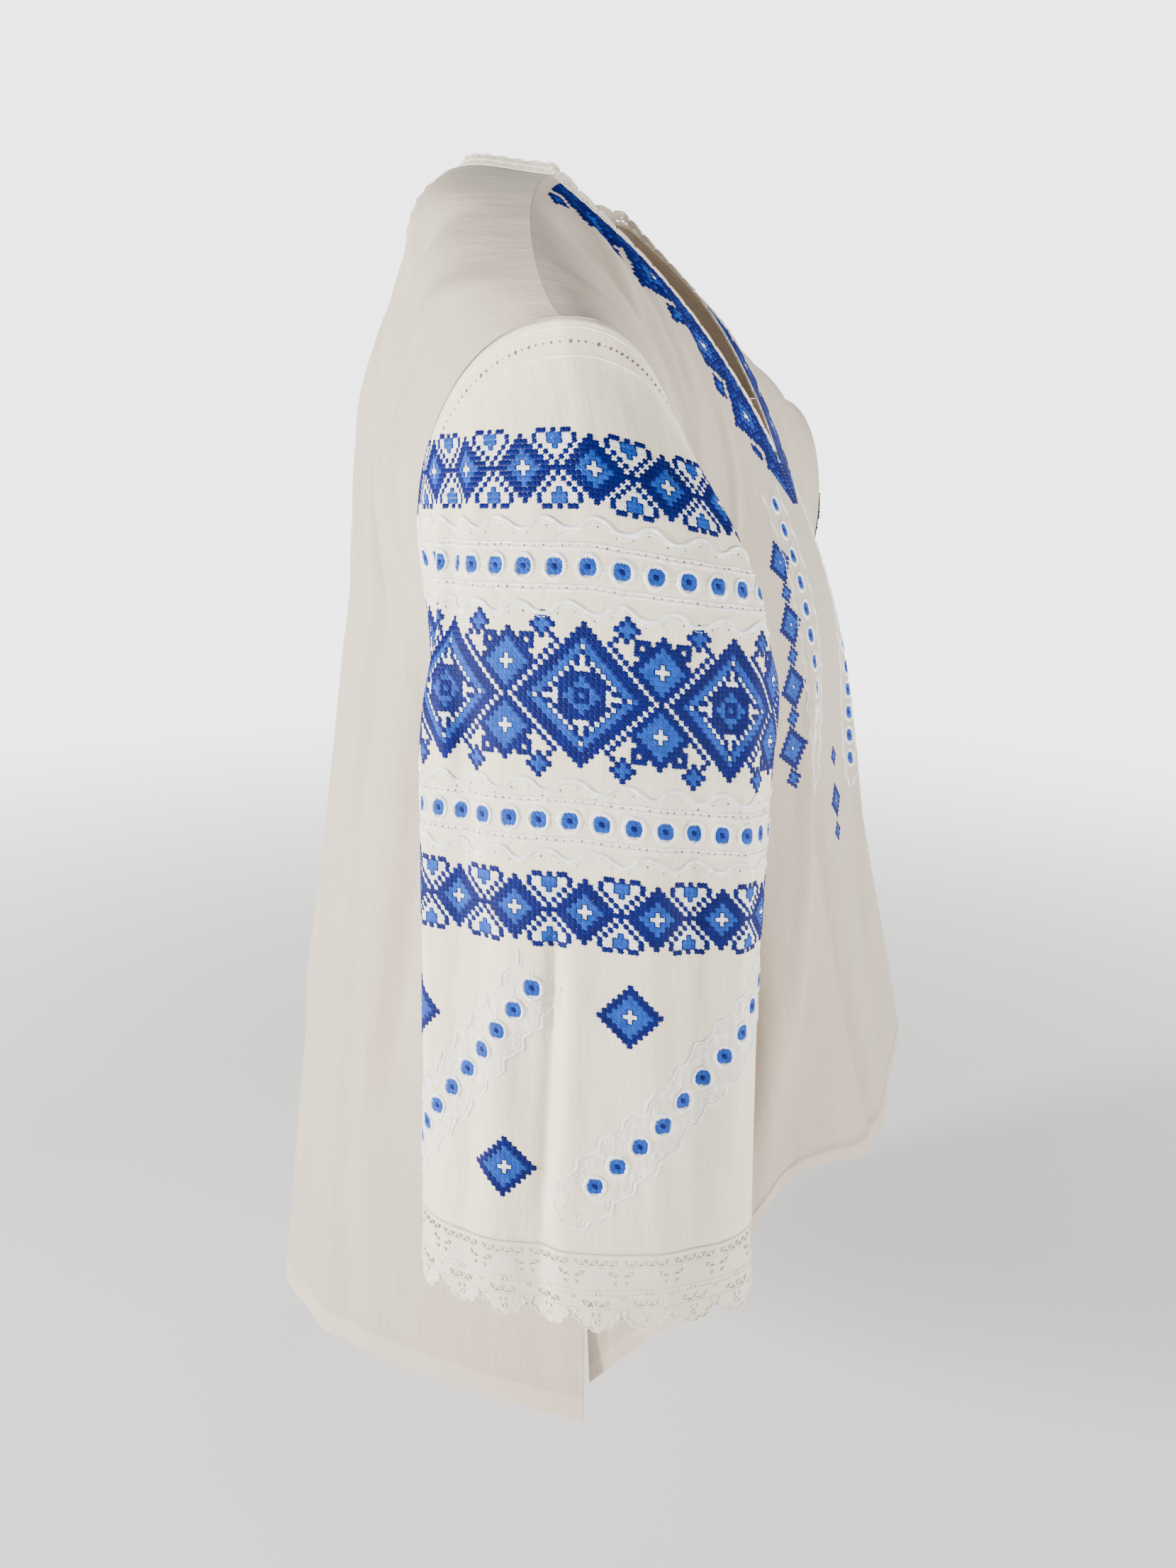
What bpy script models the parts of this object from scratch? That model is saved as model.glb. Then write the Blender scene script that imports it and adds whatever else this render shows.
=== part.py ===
"""Folk blouse, filled out as worn: front and back panels, two sleeves, cuff lace and neck lace, as cloth walls.

Metres, +Z up, the front towards -Y and the wearer's left towards +X.
The origin lies between the two side neck points, where the shoulders carry the blouse.
"""

import math

import bpy
import numpy as np

CM = 0.01

# Driving dimensions of the cloth and trims, in centimetres
WALL = 0.12
HEM_WALL = 0.18
HEM_DEPTH = 1.2
CUFF_LACE_HEIGHT = 3.8
CUFF_SCALLOPS = 17
SCALLOP_COLUMNS = 6
NECK_SCALLOPS = 44
NECK_LACE_END = 0.025
LACE_WALL = 0.11

# Rows of the cuff lace, in shares of its height; the second row holds the ladder and the fourth the scallop holes
CUFF_LEVELS = (0.00, 0.14, 0.30, 0.56, 0.74, 1.00)
SCALLOP_TOP = 0.84

# Half of each seam's gap, measured along the cloth
SIDE_SEAM = 0.02
SHOULDER_SEAM = 0.04
ARM_SEAM = 0.06
LACE_SEAM = 0.03

# Shares of a panel's height at the slit's top and at the underarm
SLIT_TOP = 0.17
UNDERARM = 0.66

# Grid of the cloth walls
NECK_COLUMNS = 6
SHOULDER_COLUMNS = 8
BODY_ROWS = 10
ARMHOLE_ROWS = 10
SLEEVE_COLUMNS = 28
SLEEVE_ROWS = 13

# Middle line of each panel, hem to shoulder; above the neckline it is only construction
FRONT_MIDDLE = {
    "share": (0.00, 0.20, 0.45, 0.60, 0.72, 0.80, 0.90, 1.00),
    "y": (-20.0, -17.9, -16.0, -14.9, -12.3, -9.9, -5.9, 0.3),
    "z": (-56.0, -45.0, -32.0, -23.0, -16.0, -11.0, -5.2, 0.9),
}
BACK_MIDDLE = {
    "share": (0.00, 0.20, 0.45, 0.66, 0.80, 0.90, 0.95, 1.00),
    "y": (22.5, 20.2, 16.8, 14.0, 12.0, 8.8, 6.8, 0.3),
    "z": (-72.0, -55.0, -37.0, -20.5, -9.6, -1.6, 1.8, 0.9),
}
# Side seam that both panels share, and the line through the middle of the armhole above it
SIDE = {
    "share": (0.00, 0.20, 0.45, 0.66, 0.80, 1.00),
    "x": (17.3, 17.2, 16.9, 16.8, 17.6, 21.0),
    "y": (-6.2, -6.0, -5.6, -5.0, -4.6, -6.5),
    "z": (-67.0, -53.0, -39.0, -27.5, -20.0, -9.6),
}
ARMHOLE_FRONT = 6.5
ARMHOLE_BACK = 7.0
ARMHOLE_ROUND = (1.15, 0.85)
ARMHOLE_TURN = 27.0
# Height of each panel's hem from the middle to the side slit
FRONT_HEM = {
    "across": (0.00, 0.20, 0.36, 0.50, 0.64, 0.80, 1.00),
    "z": (-56.0, -55.6, -54.2, -54.2, -57.4, -61.4, -66.0),
}
BACK_HEM = {
    "across": (0.00, 0.30, 0.50, 0.70, 0.85, 1.00),
    "z": (-71.9, -71.3, -70.2, -69.0, -68.2, -67.8),
}
# Share of the height over which the hem's own line fades into the panel, and how far each slit edge spreads
HEM_REACH = 0.3
FRONT_SLIT_SPREAD = -0.5
BACK_SLIT_SPREAD = 0.4
# How much more the cloth's height keeps to its side line near the shoulder
SHOULDER_BEND = 0.35

# Neckline of each panel: the share of the height where the cloth ends, by place across
FRONT_NECK = {
    "across": (0.00, 0.06, 0.14, 0.20, 0.24, 0.26),
    "share": (0.735, 0.78, 0.85, 0.91, 0.965, 1.00),
}
BACK_NECK = {
    "across": (0.00, 0.08, 0.16, 0.22, 0.26),
    "share": (0.930, 0.935, 0.950, 0.975, 1.00),
}

# Height of the neck lace along the neckline, from the front's point over the back and round again
NECK_LACE = {
    "share": (0.00, 0.22, 0.34, 0.66, 0.78, 1.00),
    "height": (0.40, 0.45, 1.10, 1.10, 0.45, 0.40),
}

# Sleeve from the armhole to the cuff seam: middle of each ring and its half widths
SLEEVE = {
    "share": (0.00, 0.15, 0.35, 0.60, 0.80, 1.00),
    "x": (19.6, 21.5, 22.0, 22.3, 22.6, 22.9),
    "y": (-6.9, -8.2, -8.3, -8.2, -8.2, -8.2),
    "across": (7.8, 8.2, 8.0, 7.9, 7.9, 8.0),
    "through": (3.0, 3.5, 3.7, 3.9, 4.0, 4.1),
}
CUFF_HEIGHT = -50.6
SLEEVE_TURN = 12.0
SLEEVE_FILL = 0.38
SLEEVE_SPREAD = 0.26
# Half widths of the sleeve that the folds stand out from
SLEEVE_OVAL = (4.0, 7.6)
# The wearer's left arm hangs further back than the right one
SLEEVE_SWING = {"right": 0.0, "left": 5.2}
UNDERARM_CLEAR = 0.2

# Largest folds. A panel fold runs from low to high in shares of the height, at a place across that drifts
FRONT_FOLDS = {
    "across": (-0.06, 0.22, 0.66, -0.84),
    "drift": (-0.60, 0.22, 0.06, 0.06),
    "spread": (0.09, 0.18, 0.09, 0.07),
    "depth": (1.2, 2.8, 0.7, 0.6),
    "low": (0.00, 0.00, 0.00, 0.00),
    "high": (0.70, 0.70, 0.50, 0.50),
}
BACK_FOLDS = {
    "across": (-0.62, -0.30, 0.02, 0.36, 0.64),
    "drift": (0.06, 0.02, 0.00, -0.04, -0.06),
    "spread": (0.09, 0.08, 0.09, 0.08, 0.09),
    "depth": (0.6, 0.5, 0.4, 0.5, 0.6),
    "low": (0.00, 0.00, 0.00, 0.00, 0.00),
    "high": (0.80, 0.62, 0.55, 0.66, 0.78),
}
# A sleeve fold lies at a turn round the ring, in degrees from the outer line towards the front
SLEEVE_FOLDS = {
    "turn": (-78.0, 74.0, -14.0, 150.0, -140.0),
    "spread": (14.0, 13.0, 10.0, 16.0, 16.0),
    "depth": (-1.1, -0.5, -0.4, -0.6, -0.6),
    "low": (0.02, 0.00, 0.70, 0.10, 0.10),
    "high": (0.34, 0.30, 1.00, 1.00, 1.00),
}


def table(columns, name, share, along="share"):
    """Reads a named column of a table at any share, on a smooth curve through its rows."""
    knots = np.asarray(columns[along], float)
    values = np.asarray(columns[name], float)
    steps = np.diff(knots)
    slopes = np.diff(values) / steps
    tangents = np.empty_like(values)
    tangents[0] = slopes[0]
    tangents[-1] = slopes[-1]
    tangents[1:-1] = (slopes[:-1] * steps[1:] + slopes[1:] * steps[:-1]) / (steps[:-1] + steps[1:])
    share = np.clip(np.asarray(share, float), knots[0], knots[-1])
    place = np.clip(np.searchsorted(knots, share, side="right") - 1, 0, len(steps) - 1)
    step = steps[place]
    u = (share - knots[place]) / step
    curve = (1 + 2 * u) * (1 - u) ** 2 * values[place] + u * (1 - u) ** 2 * step * tangents[place]
    return curve + u * u * (3 - 2 * u) * values[place + 1] + u * u * (u - 1) * step * tangents[place + 1]


def ease(value):
    """Smooth step from 0 to 1."""
    value = np.clip(value, 0.0, 1.0)
    return value * value * (3.0 - 2.0 * value)


def unit(vectors):
    """Vectors scaled to length 1."""
    return vectors / np.maximum(np.linalg.norm(vectors, axis=-1, keepdims=True), 1e-9)


def armhole_share(share):
    """How far a panel's height has come up the armhole, 0 at the underarm and 1 at the shoulder."""
    return np.clip((share - UNDERARM) / (1.0 - UNDERARM), 0.0, 1.0)


def side_edge(share, facing):
    """Edge of a panel on the wearer's left: the side seam, then the armhole's rim. Facing is -1 for the front."""
    up = armhole_share(share)
    reach = ARMHOLE_FRONT if facing < 0 else ARMHOLE_BACK
    x = table(SIDE, "x", share)
    power = ARMHOLE_ROUND[0] + (ARMHOLE_ROUND[1] - ARMHOLE_ROUND[0]) * ease(up)
    y = table(SIDE, "y", share) + facing * reach * np.clip(np.sin(math.pi * up), 0.0, 1.0) ** power
    low = table(SIDE, "z", UNDERARM)
    rim = low + (SIDE["z"][-1] - low) * (1.0 - np.cos(math.pi * up)) / 2.0
    z = np.where(share < UNDERARM, table(SIDE, "z", share), rim)
    open_slit = np.clip(1.0 - share / SLIT_TOP, 0.0, 1.0)
    x = x + (FRONT_SLIT_SPREAD if facing < 0 else BACK_SLIT_SPREAD) * open_slit ** 1.5
    return x, y, z


def fold_swell(folds, across, share):
    """How far the folds of a panel stand out at each point."""
    swell = np.zeros_like(across)
    for row in range(len(folds["across"])):
        low, high = folds["low"][row], folds["high"][row]
        rise = np.clip((high - share) / (high - low), 0.0, 1.0)
        middle = folds["across"][row] + folds["drift"][row] * rise
        hump = np.exp(-((across - middle) / folds["spread"][row]) ** 2)
        swell += folds["depth"][row] * hump * ease(rise)
    return swell * ease((1.0 - np.abs(across)) / 0.12)


def panel_surface(across, share, facing):
    """Points of the front or back panel: across runs from -1 to 1, share from the hem to the shoulder."""
    middle = FRONT_MIDDLE if facing < 0 else BACK_MIDDLE
    folds = FRONT_FOLDS if facing < 0 else BACK_FOLDS
    x_side, y_side, z_side = side_edge(share, facing)
    stop = np.radians(90.0 - ARMHOLE_TURN * ease(armhole_share(share) / 0.4))
    angle = np.abs(across) * stop
    out = np.sin(angle) / np.sin(stop)
    inward = np.clip((np.cos(angle) - np.cos(stop)) / (1.0 - np.cos(stop)), 0.0, 1.0)
    x = np.sign(across) * x_side * out
    y = y_side + (table(middle, "y", share) - y_side) * inward
    bend = 1.0 + SHOULDER_BEND * np.clip(share, 0.0, 1.0) ** 4
    z = z_side + (table(middle, "z", share) - z_side) * inward ** bend
    plain = SIDE["z"][0] + (middle["z"][0] - SIDE["z"][0]) * np.cos(np.abs(across) * math.pi / 2.0)
    hem = table(FRONT_HEM if facing < 0 else BACK_HEM, "z", np.abs(across), "across")
    z = z + (hem - plain) * np.clip(1.0 - share / HEM_REACH, 0.0, 1.0) ** 1.5
    swell = fold_swell(folds, across, share)
    x = x + swell * np.sin(angle) * np.sign(across)
    y = y + swell * np.cos(angle) * facing
    return np.stack([x, y, z], axis=-1)


def panel_grid(facing):
    """Grid of a panel's middle surface, rows from hem to top, columns from the wearer's right to left."""
    neck = FRONT_NECK if facing < 0 else BACK_NECK
    side_neck = neck["across"][-1]
    half = np.linspace(0.0, side_neck, NECK_COLUMNS + 1)
    half = np.concatenate([half, np.linspace(side_neck, 1.0, SHOULDER_COLUMNS + 1)[1:]])
    across = np.concatenate([-half[:0:-1], half])
    top = np.where(np.abs(across) < side_neck, table(neck, "share", np.abs(across), "across"), 1.0)
    hem = HEM_DEPTH / (SIDE["z"][-1] - SIDE["z"][0])
    body = hem + (UNDERARM - hem) * np.linspace(0.0, 1.0, BODY_ROWS)
    low = np.concatenate([[0.0], body])
    high = np.linspace(0.0, 1.0, ARMHOLE_ROWS + 1)[1:]
    rows = [np.full_like(across, share) for share in low]
    rows += [UNDERARM + (top - UNDERARM) * share for share in high]
    share = np.stack(rows)
    grid = panel_surface(np.broadcast_to(across, share.shape), share, facing)
    thick = np.full(share.shape, WALL)
    thick[:2] = HEM_WALL
    return grid, thick, across, top


def pull(grid, row, inner, distance):
    """Draws one border line of a grid back towards the line beside it."""
    grid[row] += unit(grid[inner] - grid[row]) * distance


def normals(grid, wrap):
    """Outward normals of a grid, from its neighbours."""
    if wrap:
        along = np.roll(grid, -1, axis=1) - np.roll(grid, 1, axis=1)
    else:
        along = np.gradient(grid, axis=1)
    return unit(np.cross(along, np.gradient(grid, axis=0)))


def material(name, colour, roughness):
    """Cloth material with its own colour."""
    made = bpy.data.materials.new(name)
    made.use_nodes = True
    shader = made.node_tree.nodes["Principled BSDF"]
    shader.inputs["Base Color"].default_value = (*colour, 1.0)
    shader.inputs["Roughness"].default_value = roughness
    shader.inputs["Metallic"].default_value = 0.0
    return made


def wall(name, grid, thick, finish, wrap=False, flip=False, gone=None):
    """Closes a grid of points into a cloth wall; cells marked as gone are holes through it."""
    rows, columns = grid.shape[:2]
    out = normals(grid, wrap) * (-1.0 if flip else 1.0)
    half = np.broadcast_to(np.asarray(thick, float), (rows, columns))[..., None] / 2.0
    points = np.concatenate([(grid + out * half).reshape(-1, 3), (grid - out * half).reshape(-1, 3)]) * CM
    inner = rows * columns
    cells = []
    for row in range(rows - 1):
        for column in range(columns if wrap else columns - 1):
            if gone is not None and gone[row, column]:
                continue
            right = (column + 1) % columns
            ring = [row * columns + column, row * columns + right]
            ring += [(row + 1) * columns + right, (row + 1) * columns + column]
            cells.append(ring[::-1] if flip else ring)
    faces = list(cells)
    faces += [[corner + inner for corner in reversed(ring)] for ring in cells]
    edges = {(a, b) for ring in cells for a, b in zip(ring, ring[1:] + ring[:1])}
    faces += [[b, a, a + inner, b + inner] for a, b in sorted(edges) if (b, a) not in edges]
    used = sorted({corner for face in faces for corner in face})
    renamed = {corner: place for place, corner in enumerate(used)}
    mesh = bpy.data.meshes.new(name)
    mesh.from_pydata(points[used].tolist(), [], [[renamed[corner] for corner in face] for face in faces])
    mesh.materials.append(finish)
    mesh.shade_smooth()
    mesh.set_sharp_from_angle(angle=math.radians(50.0))
    made = bpy.data.objects.new(name, mesh)
    bpy.context.scene.collection.objects.link(made)
    return made


def make_panel(name, facing, finish):
    """One body panel with its seams drawn back. Gives the columns that end at the neckline."""
    grid, thick, across, top = panel_grid(facing)
    middle_column = len(across) // 2
    below = BODY_ROWS
    columns = np.moveaxis(grid, 1, 0)
    for edge, inner in ((0, 1), (-1, -2)):
        gap = np.where(np.arange(grid.shape[0]) <= below, SIDE_SEAM, ARM_SEAM)[:, None]
        columns[edge] += unit(columns[inner] - columns[edge]) * gap
    shoulder = np.abs(across) > across[middle_column + NECK_COLUMNS] - 1e-6
    grid[-1] += np.where(shoulder[:, None], unit(grid[-2] - grid[-1]) * SHOULDER_SEAM, 0.0)
    wall(name, grid, thick, finish, flip=facing > 0)
    return grid[:, middle_column - NECK_COLUMNS : middle_column + NECK_COLUMNS + 1]


def armhole_ring(turn):
    """Points of the armhole's rim at turns round the ring, from the shoulder over the front."""
    turn = np.mod(turn, 2.0 * math.pi)
    front = turn <= math.pi
    up = np.where(front, 1.0 - turn / math.pi, turn / math.pi - 1.0)
    share = UNDERARM + (1.0 - UNDERARM) * up
    x, y, z = side_edge(share, -1)
    y_back = side_edge(share, 1)[1]
    return np.stack([x, np.where(front, y, y_back), z], axis=-1)


def sleeve_surface(turn, share, word):
    """Points of a sleeve: turn goes round from the outer line over the front, share from armhole to cuff."""
    rim = armhole_ring(turn)
    x_middle = table(SLEEVE, "x", share)
    y_middle = table(SLEEVE, "y", share)
    swell = np.zeros_like(turn)
    for row in range(len(SLEEVE_FOLDS["turn"])):
        low, high = SLEEVE_FOLDS["low"][row], SLEEVE_FOLDS["high"][row]
        away = np.mod(np.degrees(turn) - SLEEVE_FOLDS["turn"][row] + 180.0, 360.0) - 180.0
        reach = ease((share - low) / 0.08) * ease((high - share) / 0.15 if high < 1.0 else 1.0 + share)
        swell += SLEEVE_FOLDS["depth"][row] * np.exp(-(away / SLEEVE_FOLDS["spread"][row]) ** 2) * reach
    through = table(SLEEVE, "through", share) * np.cos(turn)
    across = table(SLEEVE, "across", share) * np.sin(turn)
    lean = math.radians(SLEEVE_TURN)
    out = unit(np.stack([np.cos(turn) / SLEEVE_OVAL[0], np.sin(turn) / SLEEVE_OVAL[1]], axis=-1))
    through = through + swell * out[..., 0]
    across = across + swell * out[..., 1]
    x = x_middle + through * math.cos(lean) - across * math.sin(lean)
    y = y_middle - across * math.cos(lean) - through * math.sin(lean) + SLEEVE_SWING[word]
    fill = 1.0 - (1.0 - np.clip(share / SLEEVE_FILL, 0.0, 1.0)) ** 2.2
    x = rim[..., 0] + (x - rim[..., 0]) * fill
    y = rim[..., 1] + (y - rim[..., 1]) * (1.0 - (1.0 - np.clip(share / SLEEVE_SPREAD, 0.0, 1.0)) ** 2)
    z = rim[..., 2] + (CUFF_HEIGHT - rim[..., 2]) * share
    x = x + UNDERARM_CLEAR * (1.0 - np.cos(turn)) / 2.0
    return np.stack([x if word == "left" else -x, y, z], axis=-1)


def make_sleeve(word, finish):
    """One sleeve, from its armhole seam to its cuff seam."""
    turn = np.linspace(0.0, 2.0 * math.pi, SLEEVE_COLUMNS, endpoint=False)
    share = np.linspace(0.0, 1.0, SLEEVE_ROWS + 1) ** 1.15
    turns, shares = np.meshgrid(turn, share)
    grid = sleeve_surface(turns, shares, word)
    pull(grid, 0, 1, ARM_SEAM)
    pull(grid, -1, -2, LACE_SEAM)
    wall("sleeve_" + word, grid, WALL, finish, wrap=True, flip=word == "left")


def make_cuff_lace(word, half, finish):
    """Half of a cuff's lace edging: a ladder of holes, a solid band and scallops with holes above them."""
    columns = CUFF_SCALLOPS * SCALLOP_COLUMNS
    first = 0 if half == "inner" else columns // 2
    last = columns // 2 if half == "inner" else columns
    place = np.arange(first, last + 1)
    turn = place / columns * 2.0 * math.pi + 0.5 * math.pi
    gap = LACE_SEAM / SLEEVE["across"][-1]
    turn[0] += gap
    turn[-1] -= gap
    scallop = np.abs(np.sin(place / SCALLOP_COLUMNS * math.pi))
    rows = []
    base = sleeve_surface(turn, np.ones_like(turn), word)
    for level in CUFF_LEVELS:
        point = base.copy()
        fall = np.full_like(turn, level) if level < 1.0 else SCALLOP_TOP + (1.0 - SCALLOP_TOP) * scallop
        point[:, 2] -= LACE_SEAM + fall * CUFF_LACE_HEIGHT
        rows.append(point)
    grid = np.stack(rows)
    gone = np.zeros((len(CUFF_LEVELS) - 1, len(place) - 1), bool)
    step = np.arange(first, last)
    gone[1] = step % 3 == 1
    gone[3] = step % SCALLOP_COLUMNS == 4
    wall("cuff_lace_" + half + "_" + word, grid, LACE_WALL, finish, flip=word == "left", gone=gone)


def neck_line(grid, facing):
    """Points, outward normals and upward ways of a panel's neckline, from the wearer's right to left."""
    return grid[-1], normals(grid, False)[-1] * -facing, unit(grid[-1] - grid[-2])


def make_neck_lace(front, back, finish):
    """Crochet edging that stands up from the neckline, from the front's point over the back and round again."""
    middle = NECK_COLUMNS
    points, out, way = (
        np.concatenate([one[middle:0:-1], other, one[-2 : middle - 1 : -1]])
        for one, other in zip(neck_line(front, -1), neck_line(back, 1))
    )
    run = np.concatenate([[0.0], np.cumsum(np.linalg.norm(np.diff(points, axis=0), axis=1))])
    run /= run[-1]
    columns = 2 * NECK_SCALLOPS
    spot = np.linspace(NECK_LACE_END, 1.0 - NECK_LACE_END, columns + 1)
    points, out, way = (
        np.stack([np.interp(spot, run, values[:, axis]) for axis in range(3)], axis=1)
        for values in (points, out, way)
    )
    up = unit(np.cross(np.gradient(points, axis=0), out))
    up *= np.sign(np.sum(up * way, axis=1, keepdims=True))
    up = unit(up + [0.0, 0.0, 0.5])
    for _ in range(6):
        up[1:-1] = unit(up[:-2] + up[1:-1] + up[2:])
    height = table(NECK_LACE, "height", spot)
    tip = np.where(np.arange(columns + 1) % 2 == 0, 0.78, 1.0)
    gap = LACE_SEAM + WALL
    rows = [points + up * (gap + level * (height - gap))[:, None] for level in (0.0, 0.5, tip)]
    wall("neck_lace", np.stack(rows), LACE_WALL, finish, flip=True)


def main():
    """Builds the whole blouse in an empty scene."""
    for old in list(bpy.data.objects):
        bpy.data.objects.remove(old, do_unlink=True)
    body = material("body_voile", (0.70, 0.64, 0.60), 0.85)
    arm = material("sleeve_voile", (0.82, 0.78, 0.68), 0.85)
    lace = material("lace_thread", (0.86, 0.82, 0.76), 0.8)
    front = make_panel("front_panel", -1, body)
    back = make_panel("back_panel", 1, body)
    for word in ("right", "left"):
        make_sleeve(word, arm)
        for half in ("inner", "outer"):
            make_cuff_lace(word, half, lace)
    make_neck_lace(front, back, lace)


main()
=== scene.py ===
"""Folk blouse of white voile in blue cross stitch, filled out as worn: its looks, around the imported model.

Lengths inside the makers are in centimetres of cloth; each mesh is written in metres.
"""

import math

import bpy
import numpy as np
from bpy.props import FloatProperty, FloatVectorProperty, IntProperty, PointerProperty
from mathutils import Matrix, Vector
from mathutils.geometry import delaunay_2d_cdt


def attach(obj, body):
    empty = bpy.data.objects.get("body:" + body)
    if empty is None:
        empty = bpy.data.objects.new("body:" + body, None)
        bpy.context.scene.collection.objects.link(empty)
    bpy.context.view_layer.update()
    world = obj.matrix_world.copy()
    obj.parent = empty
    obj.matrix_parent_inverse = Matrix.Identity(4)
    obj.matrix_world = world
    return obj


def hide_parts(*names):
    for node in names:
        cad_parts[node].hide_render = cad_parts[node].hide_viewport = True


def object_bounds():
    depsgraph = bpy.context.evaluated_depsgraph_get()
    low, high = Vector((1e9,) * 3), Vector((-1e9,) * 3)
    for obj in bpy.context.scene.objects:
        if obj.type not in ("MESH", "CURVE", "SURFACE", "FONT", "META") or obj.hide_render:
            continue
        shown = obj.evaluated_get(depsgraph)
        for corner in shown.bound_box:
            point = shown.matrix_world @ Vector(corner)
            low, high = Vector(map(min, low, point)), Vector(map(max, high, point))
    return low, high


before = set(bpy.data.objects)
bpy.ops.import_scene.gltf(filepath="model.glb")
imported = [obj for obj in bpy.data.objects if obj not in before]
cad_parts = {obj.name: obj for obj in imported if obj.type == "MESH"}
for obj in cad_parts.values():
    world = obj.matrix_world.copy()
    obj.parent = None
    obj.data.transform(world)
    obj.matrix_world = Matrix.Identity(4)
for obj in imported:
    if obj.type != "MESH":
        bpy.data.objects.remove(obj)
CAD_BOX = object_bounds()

bl_info = {
    "name": "Folk Blouse",
    "version": (1, 0, 0),
    "blender": (4, 5, 0),
    "location": "3D View > Sidebar > Blouse",
    "description": "Makes an embroidered folk blouse, filled out as worn, around its packed model",
    "category": "Mesh",
}

CM = 0.01

# Form of the cloth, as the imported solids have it, in centimetres
SLIT_TOP = 0.17
UNDERARM = 0.66
FRONT_MIDDLE = {
    "share": (0.00, 0.20, 0.45, 0.60, 0.72, 0.80, 0.90, 1.00),
    "y": (-20.0, -17.9, -16.0, -14.9, -12.3, -9.9, -5.9, 0.3),
    "z": (-56.0, -45.0, -32.0, -23.0, -16.0, -11.0, -5.2, 0.9),
}
BACK_MIDDLE = {
    "share": (0.00, 0.20, 0.45, 0.66, 0.80, 0.90, 0.95, 1.00),
    "y": (22.5, 20.2, 16.8, 14.0, 12.0, 8.8, 6.8, 0.3),
    "z": (-72.0, -55.0, -37.0, -20.5, -9.6, -1.6, 1.8, 0.9),
}
SIDE = {
    "share": (0.00, 0.20, 0.45, 0.66, 0.80, 1.00),
    "x": (17.3, 17.2, 16.9, 16.8, 17.6, 21.0),
    "y": (-6.2, -6.0, -5.6, -5.0, -4.6, -6.5),
    "z": (-67.0, -53.0, -39.0, -27.5, -20.0, -9.6),
}
ARMHOLE_FRONT = 6.5
ARMHOLE_BACK = 7.0
ARMHOLE_ROUND = (1.15, 0.85)
ARMHOLE_TURN = 27.0
FRONT_HEM = {
    "across": (0.00, 0.20, 0.36, 0.50, 0.64, 0.80, 1.00),
    "z": (-56.0, -55.6, -54.2, -54.2, -57.4, -61.4, -66.0),
}
BACK_HEM = {
    "across": (0.00, 0.30, 0.50, 0.70, 0.85, 1.00),
    "z": (-71.9, -71.3, -70.2, -69.0, -68.2, -67.8),
}
HEM_REACH = 0.3
FRONT_SLIT_SPREAD = -0.5
BACK_SLIT_SPREAD = 0.4
SHOULDER_BEND = 0.35
FRONT_NECK = {
    "across": (0.00, 0.06, 0.14, 0.20, 0.24, 0.26),
    "share": (0.735, 0.78, 0.85, 0.91, 0.965, 1.00),
}
BACK_NECK = {
    "across": (0.00, 0.08, 0.16, 0.22, 0.26),
    "share": (0.930, 0.935, 0.950, 0.975, 1.00),
}
NECK_LACE = {
    "share": (0.00, 0.22, 0.34, 0.66, 0.78, 1.00),
    "height": (0.40, 0.45, 1.10, 1.10, 0.45, 0.40),
}
SLEEVE = {
    "share": (0.00, 0.15, 0.35, 0.60, 0.80, 1.00),
    "x": (19.6, 21.5, 22.0, 22.3, 22.6, 22.9),
    "y": (-6.9, -8.2, -8.3, -8.2, -8.2, -8.2),
    "across": (7.8, 8.2, 8.0, 7.9, 7.9, 8.0),
    "through": (3.0, 3.5, 3.7, 3.9, 4.0, 4.1),
}
CUFF_HEIGHT = -50.6
SLEEVE_TURN = 12.0
SLEEVE_FILL = 0.38
SLEEVE_SPREAD = 0.26
SLEEVE_OVAL = (4.0, 7.6)
SLEEVE_SWING = {"right": 0.0, "left": 5.2}
UNDERARM_CLEAR = 0.2
FRONT_FOLDS = {
    "across": (-0.06, 0.22, 0.66, -0.84),
    "drift": (-0.60, 0.22, 0.06, 0.06),
    "spread": (0.09, 0.18, 0.09, 0.07),
    "depth": (1.2, 2.8, 0.7, 0.6),
    "low": (0.00, 0.00, 0.00, 0.00),
    "high": (0.70, 0.70, 0.50, 0.50),
}
BACK_FOLDS = {
    "across": (-0.62, -0.30, 0.02, 0.36, 0.64),
    "drift": (0.06, 0.02, 0.00, -0.04, -0.06),
    "spread": (0.09, 0.08, 0.09, 0.08, 0.09),
    "depth": (0.6, 0.5, 0.4, 0.5, 0.6),
    "low": (0.00, 0.00, 0.00, 0.00, 0.00),
    "high": (0.80, 0.62, 0.55, 0.66, 0.78),
}
SLEEVE_FOLDS = {
    "turn": (-78.0, 74.0, -14.0, 150.0, -140.0),
    "spread": (14.0, 13.0, 10.0, 16.0, 16.0),
    "depth": (-1.1, -0.5, -0.4, -0.6, -0.6),
    "low": (0.02, 0.00, 0.70, 0.10, 0.10),
    "high": (0.34, 0.30, 1.00, 1.00, 1.00),
}

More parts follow.
